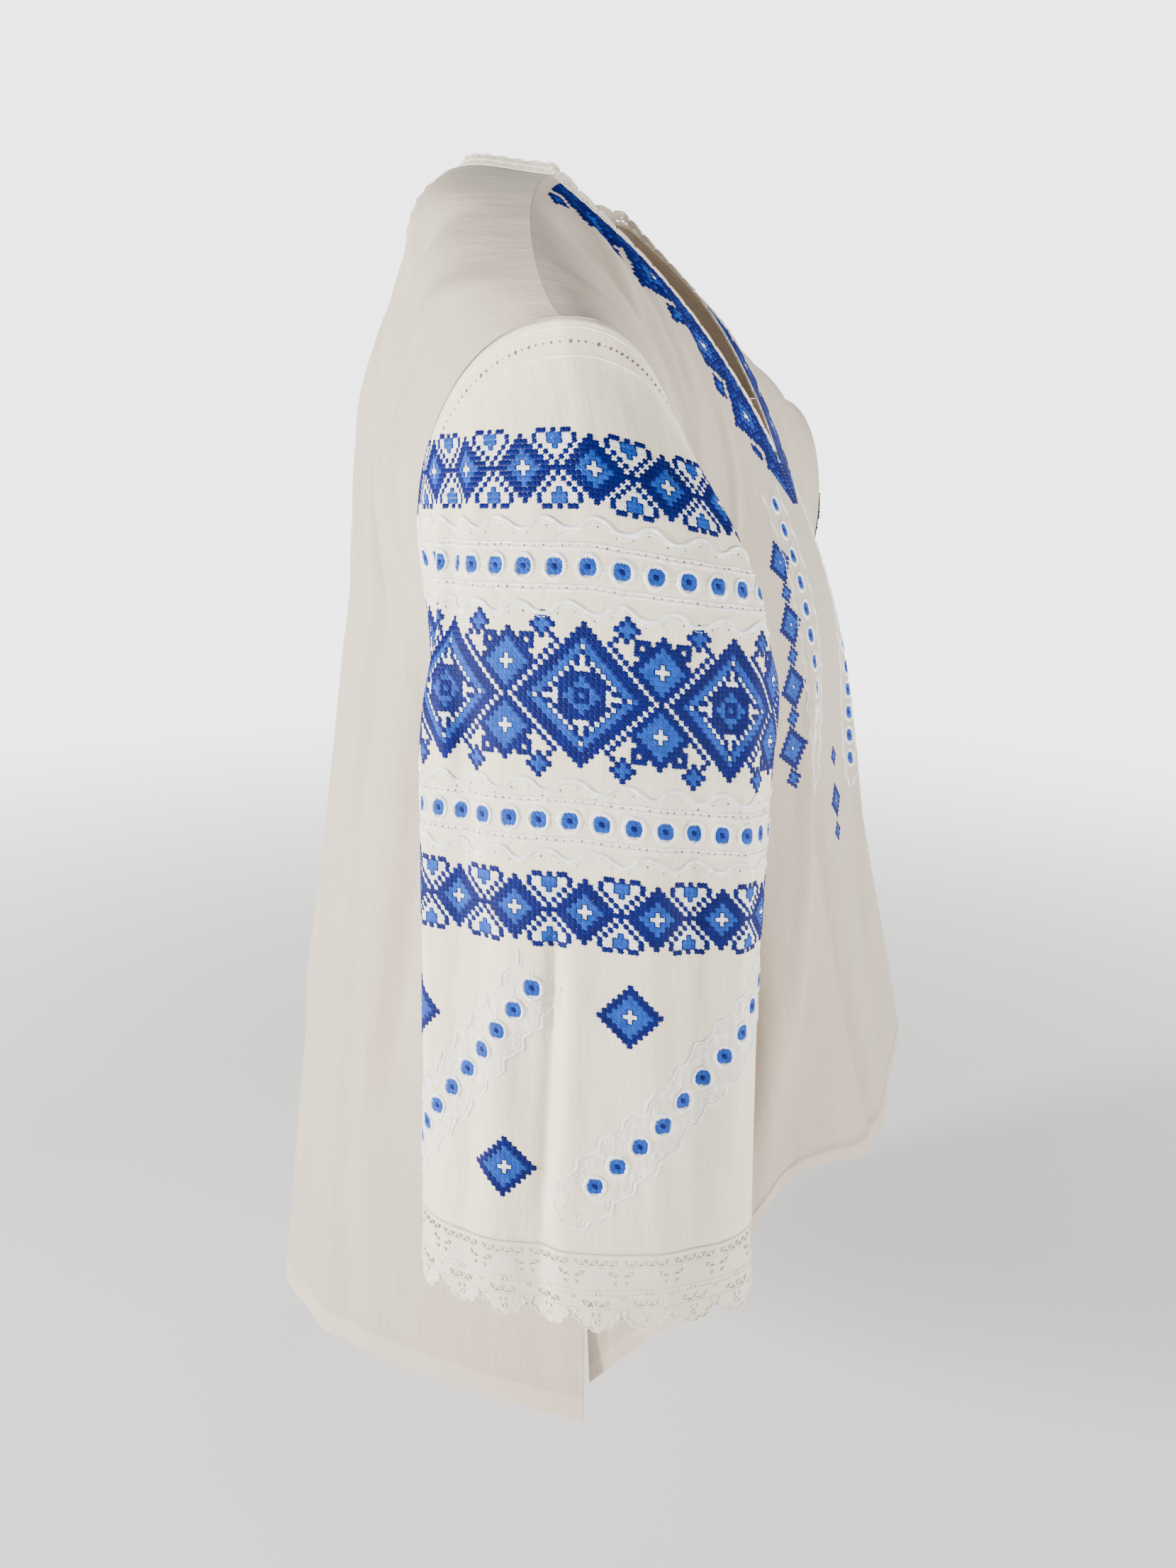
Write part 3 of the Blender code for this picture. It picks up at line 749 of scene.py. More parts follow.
def panel_at(across, share, facing):
    """Points and outward normals of a panel."""
    across, share = np.asarray(across, float), np.asarray(share, float)
    points = panel_surface(across, share, facing)
    along = panel_surface(across + 0.01, share, facing) - panel_surface(across - 0.01, share, facing)
    rise = panel_surface(across, share + 0.004, facing) - panel_surface(across, share - 0.004, facing)
    return points, unit(np.cross(along, rise)) * -facing


# Operators: one for each piece or group of like pieces

NECK_COLUMNS = 24
SHOULDER_COLUMNS = 44
BODY_ROWS = 76
ARMHOLE_ROWS = 46
SLIT_HEM = 0.042
# Gaps that the cloth leaves at its seams, in centimetres
SIDE_SEAM = 0.03
CUFF_SEAM = 0.03
ARMHOLE_SEAM = 0.06
# Cut of each piece: its flat width and length in metres, and its area in square metres
PANEL_CUTS = (("front", -1, (0.46, 0.62), 0.255), ("back", 1, (0.60, 0.78), 0.445))


def panel_grid(facing):
    """Grid of a panel, rows from hem to top, columns from the wearer's right to left."""
    neck = FRONT_NECK if facing < 0 else BACK_NECK
    side_neck = neck["across"][-1]
    half = np.linspace(0.0, side_neck, NECK_COLUMNS + 1)
    edge = 1.0 - SLIT_HEM
    shoulder = np.linspace(side_neck, edge - 0.004, SHOULDER_COLUMNS + 1)[1:]
    half = np.concatenate([half, shoulder, [edge, 0.98, 1.0]])
    across = np.concatenate([-half[:0:-1], half])
    top = np.where(np.abs(across) < side_neck, table(neck, "share", np.abs(across), "across"), 1.0)
    rise = SIDE["z"][-1] - SIDE["z"][0]
    hem = sizes().hem / CM / rise
    low = np.concatenate([[0.0, hem * 0.5, hem * 0.95], np.linspace(hem, UNDERARM, BODY_ROWS)])
    high = np.linspace(0.0, 1.0, ARMHOLE_ROWS + 1)[1:]
    rows = [np.full_like(across, share) for share in low]
    rows += [UNDERARM + (top - UNDERARM) * share for share in high]
    share = np.stack(rows)
    across = np.broadcast_to(across, share.shape)
    thick = np.full(share.shape, sizes().wall / CM)
    folded = (share < hem * 0.97) | ((np.abs(across) > edge - 0.002) & (share < SLIT_TOP))
    thick[folded] = sizes().hem_wall / CM
    return across, share, thick


class BLOUSE_OT_body(bpy.types.Operator):
    """Makes the front and the back, each one thin shell with its folds and turned hems"""

    bl_idname = "blouse.body"
    bl_label = "Front and back"

    def execute(self, context):
        # The darker body colour paints the front and back's shade
        finish = voile("body voile", colours().body, sizes().hem)
        for name, facing, cut, area in PANEL_CUTS:
            across, share, thick = panel_grid(facing)
            grid = panel_surface(across, share, facing)
            below = np.sum(share[:, 0] <= UNDERARM)
            for edge, inner in ((0, 1), (-1, -2)):
                gap = np.where(np.arange(len(grid)) < below, SIDE_SEAM, ARMHOLE_SEAM)[:, None]
                grid[:, edge] += unit(grid[:, inner] - grid[:, edge]) * gap
            cloth = np.stack([across * PANEL_REACH, share * PANEL_RISE], axis=-1)
            points, faces, places = shell(grid, thick, False, facing > 0, cloth)
            node = name + "_panel"
            piece = put(name + "_cloth", points, faces, finish, "body_voile", (node,), places, 50.0)
        return {"FINISHED"}


class BLOUSE_OT_sleeves(bpy.types.Operator):
    """Makes the two sleeves, from the armhole seam to the cuff seam"""

    bl_idname = "blouse.sleeves"
    bl_label = "Sleeves"

    def execute(self, context):
        finish = voile("sleeve voile", colours().sleeve, -1.0)
        for word in ("right", "left"):
            cloth = SleeveCloth(word)
            arcs = np.linspace(cloth.ends[60, 0], cloth.ends[60, 1], 221)
            turn = cloth.turn_at(arcs, np.full_like(arcs, 0.5))
            turn[0], turn[-1] = -math.pi, math.pi
            share = np.linspace(0.0, 1.0, 121) ** 1.08
            turns, shares = np.meshgrid(turn, share)
            grid = sleeve_surface(turns[:, :-1], shares[:, :-1], word)
            grid[0] += unit(grid[1] - grid[0]) * ARMHOLE_SEAM
            grid[-1] += unit(grid[-2] - grid[-1]) * CUFF_SEAM
            round_cm = np.stack([np.interp(turn, cloth.turns, cloth.arcs[int(one * 120)]) for one in share])
            places = np.stack([round_cm, (1.0 - shares) * SLEEVE_RISE], axis=-1)
            points, faces, corners = shell(grid, sizes().wall / CM, True, word == "left", places)
            node = "sleeve_" + word
            piece = put("sleeve_cloth_" + word, points, faces, finish, "sleeve_voile", (node,), corners)
        return {"FINISHED"}


# Lace


def ladder(start, end, top, bottom, count, bar=0.3, first_top=True):
    """Holes of a ladder row: triangles that point up and down in turn, parted by bars of thread."""
    spots = np.linspace(start, end, count + 2)
    holes = []
    for step in range(count):
        down = (step % 2 == 0) == first_top
        heights = (top, bottom, top) if down else (bottom, top, bottom)
        hole = np.stack([spots[step : step + 3], heights], axis=1)
        middle = hole.mean(axis=0)
        holes.append(middle + (hole - middle) * (1.0 - bar))
    return holes


def fan(petals, depth, top, middle=0.5, reach=0.46, steps=6):
    """Lower edge of a scallop: a half oval of rounded petals."""
    angle = np.linspace(0.0, math.pi, petals * steps + 1)
    swell = 1.0 - 0.16 * (1.0 - np.abs(np.sin(petals * angle))) ** 2
    return np.stack([middle - reach * np.cos(angle) * swell, top + depth * np.sin(angle) * swell], axis=1)


def cut_out(outline, holes):
    """Triangles of a flat lace repeat: its outline, less its holes."""
    points, edges = [], []
    for ring in [outline] + holes:
        first = len(points)
        points += [Vector((float(a), float(b))) for a, b in ring]
        edges += [(first + step, first + (step + 1) % len(ring)) for step in range(len(ring))]
    spots, _, faces, _, _, _ = delaunay_2d_cdt(points, edges, [], 0, 1e-6)
    spots = np.array([tuple(spot) for spot in spots])
    faces = np.array([face for face in faces if len(face) == 3])
    middles = spots[faces].mean(axis=1)
    keep = within(middles, outline)
    for hole in holes:
        keep &= ~within(middles, hole)
    faces = faces[keep]
    one, two, three = (spots[faces[:, corner]] for corner in range(3))
    turned = np.cross(two - one, three - one) < 0
    faces[turned] = faces[turned][:, ::-1]
    return spots, faces


def within(spots, ring):
    """Whether flat points lie inside a ring."""
    inside = np.zeros(len(spots), bool)
    ring = np.asarray(ring)
    for (a, b), (c, d) in zip(ring, np.roll(ring, -1, axis=0)):
        if b == d:
            continue
        crosses = (b > spots[:, 1]) != (d > spots[:, 1])
        inside ^= crosses & (spots[:, 0] < (c - a) * (spots[:, 1] - b) / (d - b) + a)
    return inside


def repeat_lace(spots, faces, count, closed):
    """Sets repeats side by side and joins their shared edges."""
    many = np.concatenate([spots + [step, 0.0] for step in range(count)])
    rows = np.concatenate([faces + step * len(spots) for step in range(count)])
    keys = np.round(many, 5)
    if closed:
        keys[:, 0] = np.mod(keys[:, 0], count)
    _, first, back = np.unique(keys, axis=0, return_index=True, return_inverse=True)
    return many[first], back.reshape(-1)[rows]


def lace_wall(points, out, faces, thick):
    """Closes triangles of lace into a thin wall."""
    inner = len(points)
    both = np.concatenate([points + out * thick / 2.0, points - out * thick / 2.0])
    edges = np.concatenate([faces[:, [0, 1]], faces[:, [1, 2]], faces[:, [2, 0]]])
    codes = edges[:, 0] * inner + edges[:, 1]
    alone = ~np.isin(codes, edges[:, 1] * inner + edges[:, 0])
    first, second = edges[alone].T
    rims = np.stack([second, first, first + inner, second + inner], axis=1)
    return both, [faces, faces[:, ::-1] + inner, rims]


def thread(points, out, half_width, height, closed=False):
    """A raised thread along a line on the cloth: rounded above, open where it lies on the cloth."""
    if closed:
        along = np.roll(points, -1, axis=0) - np.roll(points, 1, axis=0)
    else:
        along = np.gradient(points, axis=0)
    side = unit(np.cross(out, along))
    count = len(points)
    profile = ((-1.0, -0.2), (-0.72, 0.62), (0.0, 1.0), (0.72, 0.62), (1.0, -0.2))
    rows = [points + side * (half_width * x) + out * (height * y) for x, y in profile]
    index = np.arange(5 * count).reshape(5, count)
    if closed:
        index = np.concatenate([index, index[:, :1]], axis=1)
    return np.concatenate(rows), around_cells(index)


def gather(parts):
    """Joins several lots of points and faces into one."""
    points, faces = [], {3: [], 4: []}
    first = 0
    for spots, cells in parts:
        points.append(spots)
        for cell in cells if isinstance(cells, list) else [cells]:
            faces[cell.shape[1]].append(cell + first)
        first += len(spots)
    return np.concatenate(points), [np.concatenate(group) for group in faces.values() if group]


# Raised threads round a cuff: share of the lace's height, and half width in centimetres
CUFF_THREADS = ((0.012, 0.07), (0.178, 0.035), (0.470, 0.04), (0.535, 0.05), (0.712, 0.05))
# Small rosettes in each repeat of the cuff lace: place along it, share of its height, and reach
CUFF_ROSETTES = ((0.5, 0.50, 0.05), (0.0, 0.56, 0.035), (0.5, 0.865, 0.05))


class CuffPlaces:
    """Finds points of a cuff's lace.

    Here a counts scallops round it, and b runs from its seam to its lowest edge.
    """

    def __init__(self, word):
        self.cloth = SleeveCloth(word)
        self.count = sizes().cuff_scallops
        self.height = sizes().cuff_lace / CM

    def __call__(self, a, b):
        low, high = self.cloth.ends[-1]
        arc = low + (high - low) * np.mod(np.asarray(a, float) / self.count + 0.5, 1.0)
        turn = self.cloth.turn_at(arc, np.ones_like(arc))
        points, out = self.cloth.at(turn, np.ones_like(turn))
        out[:, 2] = 0.0
        out = unit(out)
        wave = 0.10 * np.sin(turn * 5.0 + 1.0) + 0.07 * np.sin(turn * 11.0)
        points = points + out * (np.asarray(b) ** 1.5 * (0.12 + wave))[:, None]
        points[:, 2] -= CUFF_SEAM + np.asarray(b) * self.height
        return points, out


def cuff_cell():
    """One repeat of the cuff lace: ladders of holes, and a scallop of five petals."""
    holes = ladder(0.0, 1.0, 0.055, 0.155, 9, 0.30)
    holes += ladder(0.015, 0.315, 0.205, 0.295, 2, 0.30, False)
    holes += ladder(0.685, 0.985, 0.205, 0.295, 2, 0.30)
    holes += ladder(0.015, 0.215, 0.330, 0.410, 1, 0.32)
    holes += ladder(0.785, 0.985, 0.330, 0.410, 1, 0.32)
    holes += ladder(0.16, 0.84, 0.585, 0.690, 5, 0.28)
    holes += ladder(0.38, 0.50, 0.745, 0.825, 1, 0.25)
    holes += ladder(0.50, 0.62, 0.745, 0.825, 1, 0.25)
    edge = fan(5, 0.25, 0.75)
    spots = np.linspace(0.0, 1.0, 11)
    top = np.stack([spots, np.zeros_like(spots)], axis=1)
    outline = np.concatenate([top, [(1.0, 0.5), (1.0, 0.745)], edge[::-1], [(0.0, 0.745), (0.0, 0.5)]])
    return cut_out(outline, holes), edge


class BLOUSE_OT_cuff_lace(bpy.types.Operator):
    """Makes the lace of both cuffs: cut-out cloth with raised threads and thin arcs between its scallops"""

    bl_idname = "blouse.cuff_lace"
    bl_label = "Cuff lace"

    def execute(self, context):
        finish = lace_cotton("cuff lace", colours().lace)
        (spots, faces), edge = cuff_cell()
        for word in ("right", "left"):
            place = CuffPlaces(word)
            count = place.count
            many, rows = repeat_lace(spots, faces, count, True)
            points, out = place(many[:, 0], many[:, 1])
            if word == "left":
                rows = rows[:, ::-1]
            ground = lace_wall(points, out, rows, 0.08)
            nodes = ("cuff_lace_inner_" + word, "cuff_lace_outer_" + word)
            piece = put("cuff_lace_" + word, *ground, finish, "lace_thread", nodes, None, 60.0)
            parts = []
            smooth = np.linspace(0.0, count, count * 14, endpoint=False)
            for height, half_width in CUFF_THREADS:
                line, away = place(smooth, np.full_like(smooth, height))
                parts.append(thread(line + away * 0.04, away, half_width, half_width * 0.9, True))
            for step in range(count):
                line, away = place(edge[:, 0] + step, edge[:, 1] - 0.012)
                parts.append(thread(line + away * 0.03, away, 0.06, 0.06))
                a = np.linspace(0.78, 1.22, 13)
                line, away = place(a + step, 0.845 + 0.03 * np.cos((a - 1.0) * math.pi / 0.22) - 0.03)
                parts.append(thread(line, away, 0.035, 0.05))
                turn = np.linspace(0.0, 2.0 * math.pi, 15)[:-1]
                for middle, height, reach in CUFF_ROSETTES:
                    petals = reach * (1.0 + 0.25 * np.cos(turn * 5.0))
                    a = step + middle + petals * np.cos(turn)
                    line, away = place(a, height + petals * 0.62 * np.sin(turn))
                    parts.append(thread(line + away * 0.04, away, 0.035, 0.05, True))
            put("cuff_threads_" + word, *gather(parts), finish, "lace_thread")
        return {"FINISHED"}


class NeckPlaces:
    """Finds points of the neck lace.

    Here a counts scallops from the front's point round the back, and b runs upwards.
    """

    def __init__(self):
        half = np.linspace(0.0, FRONT_NECK["across"][-1], 60)
        sides = []
        for facing, neck in ((-1, FRONT_NECK), (1, BACK_NECK)):
            across = half if facing < 0 else half[::-1]
            top = table(neck, "share", across, "across")
            points, out = panel_at(across, top, facing)
            low = panel_surface(across, top - 0.012, facing)
            sides.append((points, out, unit(points - low)))
        right = [np.concatenate([sides[0][part], sides[1][part][1:]]) for part in range(3)]
        mirror = np.array([-1.0, 1.0, 1.0])
        lines = [np.concatenate([line, (line * mirror)[-2::-1]]) for line in right]
        points, out, way = lines
        run = np.concatenate([[0.0], np.cumsum(np.linalg.norm(np.diff(points, axis=0), axis=1))])
        self.run = run / run[-1]
        up = unit(np.cross(np.gradient(points, axis=0), out))
        up *= np.sign(np.sum(up * way, axis=1, keepdims=True))
        up = unit(up + [0.0, 0.0, 0.5])
        for _ in range(16):
            up[1:-1] = unit(up[:-2] + up[1:-1] + up[2:])
        self.points, self.out, self.up = points, out, up
        self.count = sizes().neck_scallops
        self.length = run[-1]

    def __call__(self, a, b):
        spot = 0.012 + (1.0 - 0.024) * np.asarray(a, float) / self.count
        points, out, up = (
            np.stack([np.interp(spot, self.run, values[:, axis]) for axis in range(3)], axis=1)
            for values in (self.points, self.out, self.up)
        )
        side = unit(np.cross(np.cross(out, up), up)) * -1.0
        height = table(NECK_LACE, "height", spot)
        return points + up * (0.05 + np.asarray(b) * (height - 0.05))[:, None], side


class BLOUSE_OT_neck_lace(bpy.types.Operator):
    """Makes the narrow crochet edging that stands up from the neckline"""

    bl_idname = "blouse.neck_lace"
    bl_label = "Neck lace"

    def execute(self, context):
        finish = lace_cotton("neck lace", colours().lace)
        place = NeckPlaces()
        holes = ladder(0.04, 0.96, 0.16, 0.42, 3, 0.32) + ladder(0.22, 0.78, 0.52, 0.70, 1, 0.35)
        edge = fan(3, 0.30, 0.70, reach=0.48, steps=5)
        foot = [(0.0, 0.0), (0.5, 0.0), (1.0, 0.0), (1.0, 0.68)]
        outline = np.concatenate([foot, edge[::-1], [(0.0, 0.68)]])
        spots, faces = cut_out(outline, holes)
        count = place.count
        many, rows = repeat_lace(spots, faces, count, False)
        points, out = place(many[:, 0], many[:, 1])
        ground = lace_wall(points, out, rows, 0.08)
        piece = put("neck_edging", *ground, finish, "lace_thread", ("neck_lace",), None, 60.0)
        parts = []
        smooth = np.linspace(0.0, count, count * 8 + 1)
        for height in (0.03, 0.47):
            line, away = place(smooth, np.full_like(smooth, height))
            parts.append(thread(line + away * 0.03, away, 0.04, 0.05))
        for step in range(count):
            line, away = place(edge[:, 0] + step, edge[:, 1] - 0.03)
            parts.append(thread(line + away * 0.03, away, 0.045, 0.05))
        put("neck_threads", *gather(parts), finish, "lace_thread")
        return {"FINISHED"}


# Needlework

# A quarter of the narrow band's repeat, from a diamond's middle
# Its signs are # dark blue, o light blue, w white and . bare cloth
NARROW_CHART = (
    "wwoo####",
    "woo###w#",
    "oo###w#w",
    "o###w#ww",
    "###w#wwo",
    "##w#wwoo",
    "#..#wwoo",
    "....##.#",
)
NARROW_REPEAT = 14
WIDE_REPEAT = 30
# Cells of a great diamond that break its rings, from its middle
GREAT_WHITE = ((0, 5), (0, 6), (0, 7), (1, 5), (2, 6), (3, 5), (4, 4))
GREAT_WHITE += ((5, 3), (6, 2), (5, 1), (5, 0), (6, 0), (7, 0))
GREAT_WHITE_TIPS = ((0, 9), (9, 0))
GREAT_LIGHT = ((0, 0), (0, 2), (1, 2), (0, 3), (2, 0), (2, 1), (3, 0))


def narrow_band(x, y):
    """Thread of each cell of the narrow band, from its quarter chart."""
    return np.array([list(row) for row in NARROW_CHART])[y, x]


def wide_band(x, y):
    """Thread of each cell of the wide band, x and y in cells from a great diamond's middle."""
    thread = np.full(x.shape, ".")
    lone = np.abs(x - 8) + np.abs(y - 13)
    thread[lone == 2] = "#"
    thread[lone <= 1] = "o"
    thread[np.maximum(np.abs(x - 11), np.abs(y - 10)) == 1] = "#"
    thread[(x == 6) & (y == 11)] = "#"
    small = np.abs(x - 15) + np.abs(y - 6)
    thread[small <= 6] = "#"
    thread[small <= 4] = "o"
    thread[small <= 1] = "w"
    ring = x + y
    thread[ring <= 13] = "#"
    thread[(ring >= 9) & (ring <= 10)] = "o"
    for cells, name in ((GREAT_LIGHT, "o"), (GREAT_WHITE + GREAT_WHITE_TIPS, "w")):
        for a, b in cells:
            thread[(x == a) & (y == b)] = name
    thread[(ring == 14) & (y <= 10)] = "w"
    thread[(ring == 15) & (y <= 10)] = "#"
    return thread


def diamond(dark, light, white):
    """Chart of a single diamond, from how far its three threads reach."""

    def chart(x, y):
        """Thread of each cell."""
        thread = np.full(x.shape, ".")
        for reach, name in ((dark, "#"), (light, "o"), (white, "w")):
            thread[x + y <= reach] = name
        return thread

    return chart


def dot(x, y):
    """A square of light blue with a dark middle."""
    return np.where(np.maximum(x, y) > 1, ".", np.where(x + y == 0, "#", "o"))


def folded(step, repeat):
    """Cells from the nearest middle of a repeat that is mirrored about it."""
    rest = np.mod(step, repeat)
    return np.minimum(rest, repeat - rest)


def strokes(middle, out, way, reach, half_width, height):
    """Short stitches of thread, each a low roof with sloping ends."""
    side = np.cross(out, way)
    low, high = middle - way * reach, middle + way * reach
    ridge = middle + out * height
    edge = side * half_width
    corners = [low - edge, low + edge, high + edge, high - edge]
    corners += [ridge - way * reach * 0.62, ridge + way * reach * 0.62]
    first = np.arange(len(middle))[:, None] * 6
    slopes = np.concatenate([first + [0, 3, 5, 4], first + [2, 1, 4, 5]])
    ends = np.concatenate([first + [3, 2, 5], first + [1, 0, 4]])
    return np.stack(corners, axis=1).reshape(-1, 3), [slopes, ends]


# An eyelet's white ring, in centimetres: its reach round and up, and its thread's half width and rise
EYELET_RING = (0.47, 0.51)
EYELET_THREAD = 0.100
EYELET_RISE = 0.070


class Needlework:
    """Gathers the stitches, and the spots of painted shade that stand for drawn holes, on one cloth, and
    writes a piece for each kind.
    """

    slots = {
        "#": ("blue_stitches", "blue_thread"),
        "o": ("light_stitches", "light_blue_thread"),
        "w": ("white_stitches", "white_thread"),
        # The drawn holes are flat spots of painted shade on the cloth
        "h": ("drawn_holes", "sleeve_voile"),
    }

    def __init__(self, place, seed):
        self.place = place
        self.chance = np.random.default_rng(seed)
        self.parts = {name: [] for name in self.slots}
        self.cell = sizes().stitch / CM
        self.half = sizes().thread / CM / 2.0

    def cells(self, arc, height, thread, outlined=False):
        """Cross stitches in each cell that has a thread, a little uneven."""
        for name, half_width, rise in (("#", 1.5, 0.050), ("o", 1.5, 0.045), ("w", 1.1, 0.035)):
            mine = thread == name
            points, out, across, up, holds = self.place(arc[mine], height[mine])
            points, out, across, up = points[holds], out[holds], across[holds], up[holds]
            for level, sign in ((-0.010, 1.0), (0.004, -1.0)):
                uneven = self.chance.normal(0.0, 0.04, (2, len(points), 1))
                way = unit(across + up * (sign + uneven[0]))
                reach = self.cell * 0.70 * (1.0 + uneven[1])
                lot = strokes(points + out * level, out, way, reach, self.half * half_width, rise)
                self.parts[name].append(lot)
        if outlined:
            self.outline(arc, height, thread)

    def outline(self, arc, height, thread):
        """Thin dark back stitches where light blue meets white or bare cloth."""
        light = thread == "o"
        open_cell = (thread == "w") | (thread == ".")
        for axis in (0, 1):
            one = (slice(None, -1), slice(None)) if axis == 0 else (slice(None), slice(None, -1))
            two = (slice(1, None), slice(None)) if axis == 0 else (slice(None), slice(1, None))
            edge = (light[one] & open_cell[two]) | (open_cell[one] & light[two])
            a = (arc[one][edge] + arc[two][edge]) / 2.0
            b = (height[one][edge] + height[two][edge]) / 2.0
            points, out, across, up, holds = self.place(a, b)
            way = (across if axis == 0 else up)[holds]
            lot = strokes(points[holds] + out[holds] * 0.02, out[holds], way, self.cell * 0.52, 0.020, 0.035)
            self.parts["#"].append(lot)

    def band(self, chart, half_rows, repeat, shift, height):
        """A band all the way round: the chart, mirrored about its middles."""
        i, j = np.meshgrid(np.arange(-118, 119), np.arange(-half_rows, half_rows + 1))
        thread = chart(folded(i, repeat), np.abs(j))
        self.cells((i + shift) * self.cell, height + j * self.cell, thread, True)

    def motif(self, chart, reach, arc, height, outlined=False):
        """One motif about its middle cell."""
        steps = np.arange(-reach, reach + 1)
        i, j = np.meshgrid(steps, steps)
        self.cells(arc + i * self.cell, height + j * self.cell, chart(np.abs(i), np.abs(j)), outlined)

    def line(self, arc, height, half_width, rise, closed=False):
        """A raised white thread through places on the cloth, as far as the cloth reaches."""
        points, out, _, _, holds = self.place(np.asarray(arc, float), np.asarray(height, float) + 0.0 * arc)
        if closed and not holds.all():
            return
        if np.sum(holds) > 2:
            self.parts["w"].append(thread(points[holds], out[holds], half_width, rise, closed))

    def holes(self, points, out, across, up, reach):
        """Small holes drawn open between the threads of the cloth, as flat spots of painted shade."""
        turns = np.arange(6) * math.pi / 3.0
        reach = reach * (1.0 + self.chance.normal(0.0, 0.25, (len(points), 1)))
        rim = []
        for turn in turns:
            rim.append(points + out * 0.006 + (across * math.cos(turn) + up * math.sin(turn) * 1.3) * reach)
        first = np.arange(len(points))[:, None] * 6
        halves = np.concatenate([first + [0, 1, 2, 3], first + [0, 3, 4, 5]])
        self.parts["h"].append((np.stack(rim, axis=1).reshape(-1, 3), halves))

    def hole_shade_row(self, arc, height, reach=0.042):
        """A row of drawn holes as spots of painted shade, a little out of line."""
        arc = arc + self.chance.normal(0.0, 0.04, len(arc))
        height = height + self.chance.normal(0.0, 0.015, len(arc))
        points, out, across, up, holds = self.place(arc, height)
        self.holes(points[holds], out[holds], across[holds], up[holds], reach)

    def eyelet(self, arc, height):
        """A blue square inside a white satin ring."""
        self.motif(dot, 1, arc, height)
        turn = np.linspace(0.0, 2.0 * math.pi, 15)[:-1]
        uneven = 1.0 + self.chance.normal(0.0, 0.03, len(turn))
        around = arc + EYELET_RING[0] * np.cos(turn) * uneven
        above = height + EYELET_RING[1] * np.sin(turn) * uneven
        self.line(around, above, EYELET_THREAD, EYELET_RISE, True)

    def write(self, word, finishes):
        """Writes the piece of each thread, and that of the holes' painted shade."""
        for name, (label, slot) in self.slots.items():
            if self.parts[name]:
                put(label + "_" + word, *gather(self.parts[name]), finishes[name], slot)


class FrontCloth:
    """Finds points of the front by its cloth.

    A place is centimetres from the middle line, and centimetres up from the hem.
    """

    def __init__(self):
        self.shares = np.linspace(0.0, 1.0, 201)
        self.across = np.linspace(-1.0, 1.0, 401)
        grid = panel_surface(*np.meshgrid(self.across, self.shares), -1)
        steps = np.linalg.norm(np.diff(grid, axis=1), axis=2)
        arcs = np.concatenate([np.zeros((len(self.shares), 1)), np.cumsum(steps, axis=1)], axis=1)
        self.arcs = arcs - arcs[:, 200:201]
        line = panel_surface(np.full(201, -0.16), self.shares, -1)
        self.rise = np.concatenate([[0.0], np.cumsum(np.linalg.norm(np.diff(line, axis=0), axis=1))])
        self.height = line[:, 2]
        neck = np.interp(self.shares, FRONT_NECK["share"], FRONT_NECK["across"], left=0.0)
        self.neck = np.array([np.interp(spot, self.across, row) for spot, row in zip(neck, self.arcs)])

    def up_to(self, z):
        """Centimetres up the cloth at a height beside the middle."""
        return np.interp(z, self.height, self.rise)

    def neck_arc(self, rise):
        """Centimetres from the middle line to the neckline."""
        return np.interp(rise, self.rise, self.neck)

    def spot(self, arc, rise):
        """Across and share of places on the cloth."""
        share = np.interp(rise, self.rise, self.shares)
        row = share * (len(self.shares) - 1)
        low = np.clip(row.astype(int), 0, len(self.shares) - 2)
        part = row - low
        across = np.empty_like(share)
        for one in np.unique(low):
            mine = low == one
            first = np.interp(arc[mine], self.arcs[one], self.across)
            second = np.interp(arc[mine], self.arcs[one + 1], self.across)
            across[mine] = first + (second - first) * part[mine]
        return across, share

    def frame(self, arc, rise):
        """Points on the cloth's face, outward normals, ways across and up, and whether cloth is there."""
        across, share = self.spot(arc, rise)
        points, out = panel_at(across, share, -1)
        ahead = panel_surface(*self.spot(arc + 0.1, rise), -1)
        above = panel_surface(across, share + 0.002, -1)
        top = np.interp(np.abs(across), FRONT_NECK["across"], FRONT_NECK["share"])
        holds = (share < top - 0.006) & (share < 0.992) & (np.abs(across) < 0.97)
        lift = out * (sizes().wall / CM / 2.0)
        return points + lift, out, unit(ahead - points), unit(above - points), holds


def flosses():
    """Finishes of the three threads and of the painted shade in the drawn holes, made once."""
    made = {}
    shades = (("#", "dark blue floss", colours().dark), ("o", "light blue floss", colours().light))
    for name, title, shade in shades + (("w", "white floss", colours().white),):
        made[name] = bpy.data.materials.get(title) or floss(title, shade, 0.55)
    # Painted shade for the drawn holes, a dark finish
    made["h"] = bpy.data.materials.get("hole shade") or floss("hole shade", colours().hole, 0.9)
    return made


# Heights of the rows on a sleeve, in centimetres at its outer line
NARROW_ROWS = (-15.95, -34.5)
WIDE_ROW = -25.2
# Height of the eyelets, their pitch and first place in cells, then the heights of the double lines and waves
RELIEF_ROWS = (
    (-19.95, 6.33, 0.0, (-19.10, -20.80), (-18.20, -21.60)),
    (-30.55, 6.10, -1.7, (-29.70, -31.40), (-29.00, -32.05)),
)
# Slanting relief bands: cells round at their upper and lower ends
SLANTS = ((45.0, 1.1), (-9.0, -44.0), (-65.0, -100.0), (101.0, 57.0))
SLANT_TOP = -37.9
SLANT_BOTTOM = -48.0
# Threads of a slanting band: centimetres from its scalloped edge, half width and rise
SLANT_LINES = ((0.0, 0.070, 0.055), (-0.22, 0.030, 0.030), (-0.80, 0.026, 0.028))
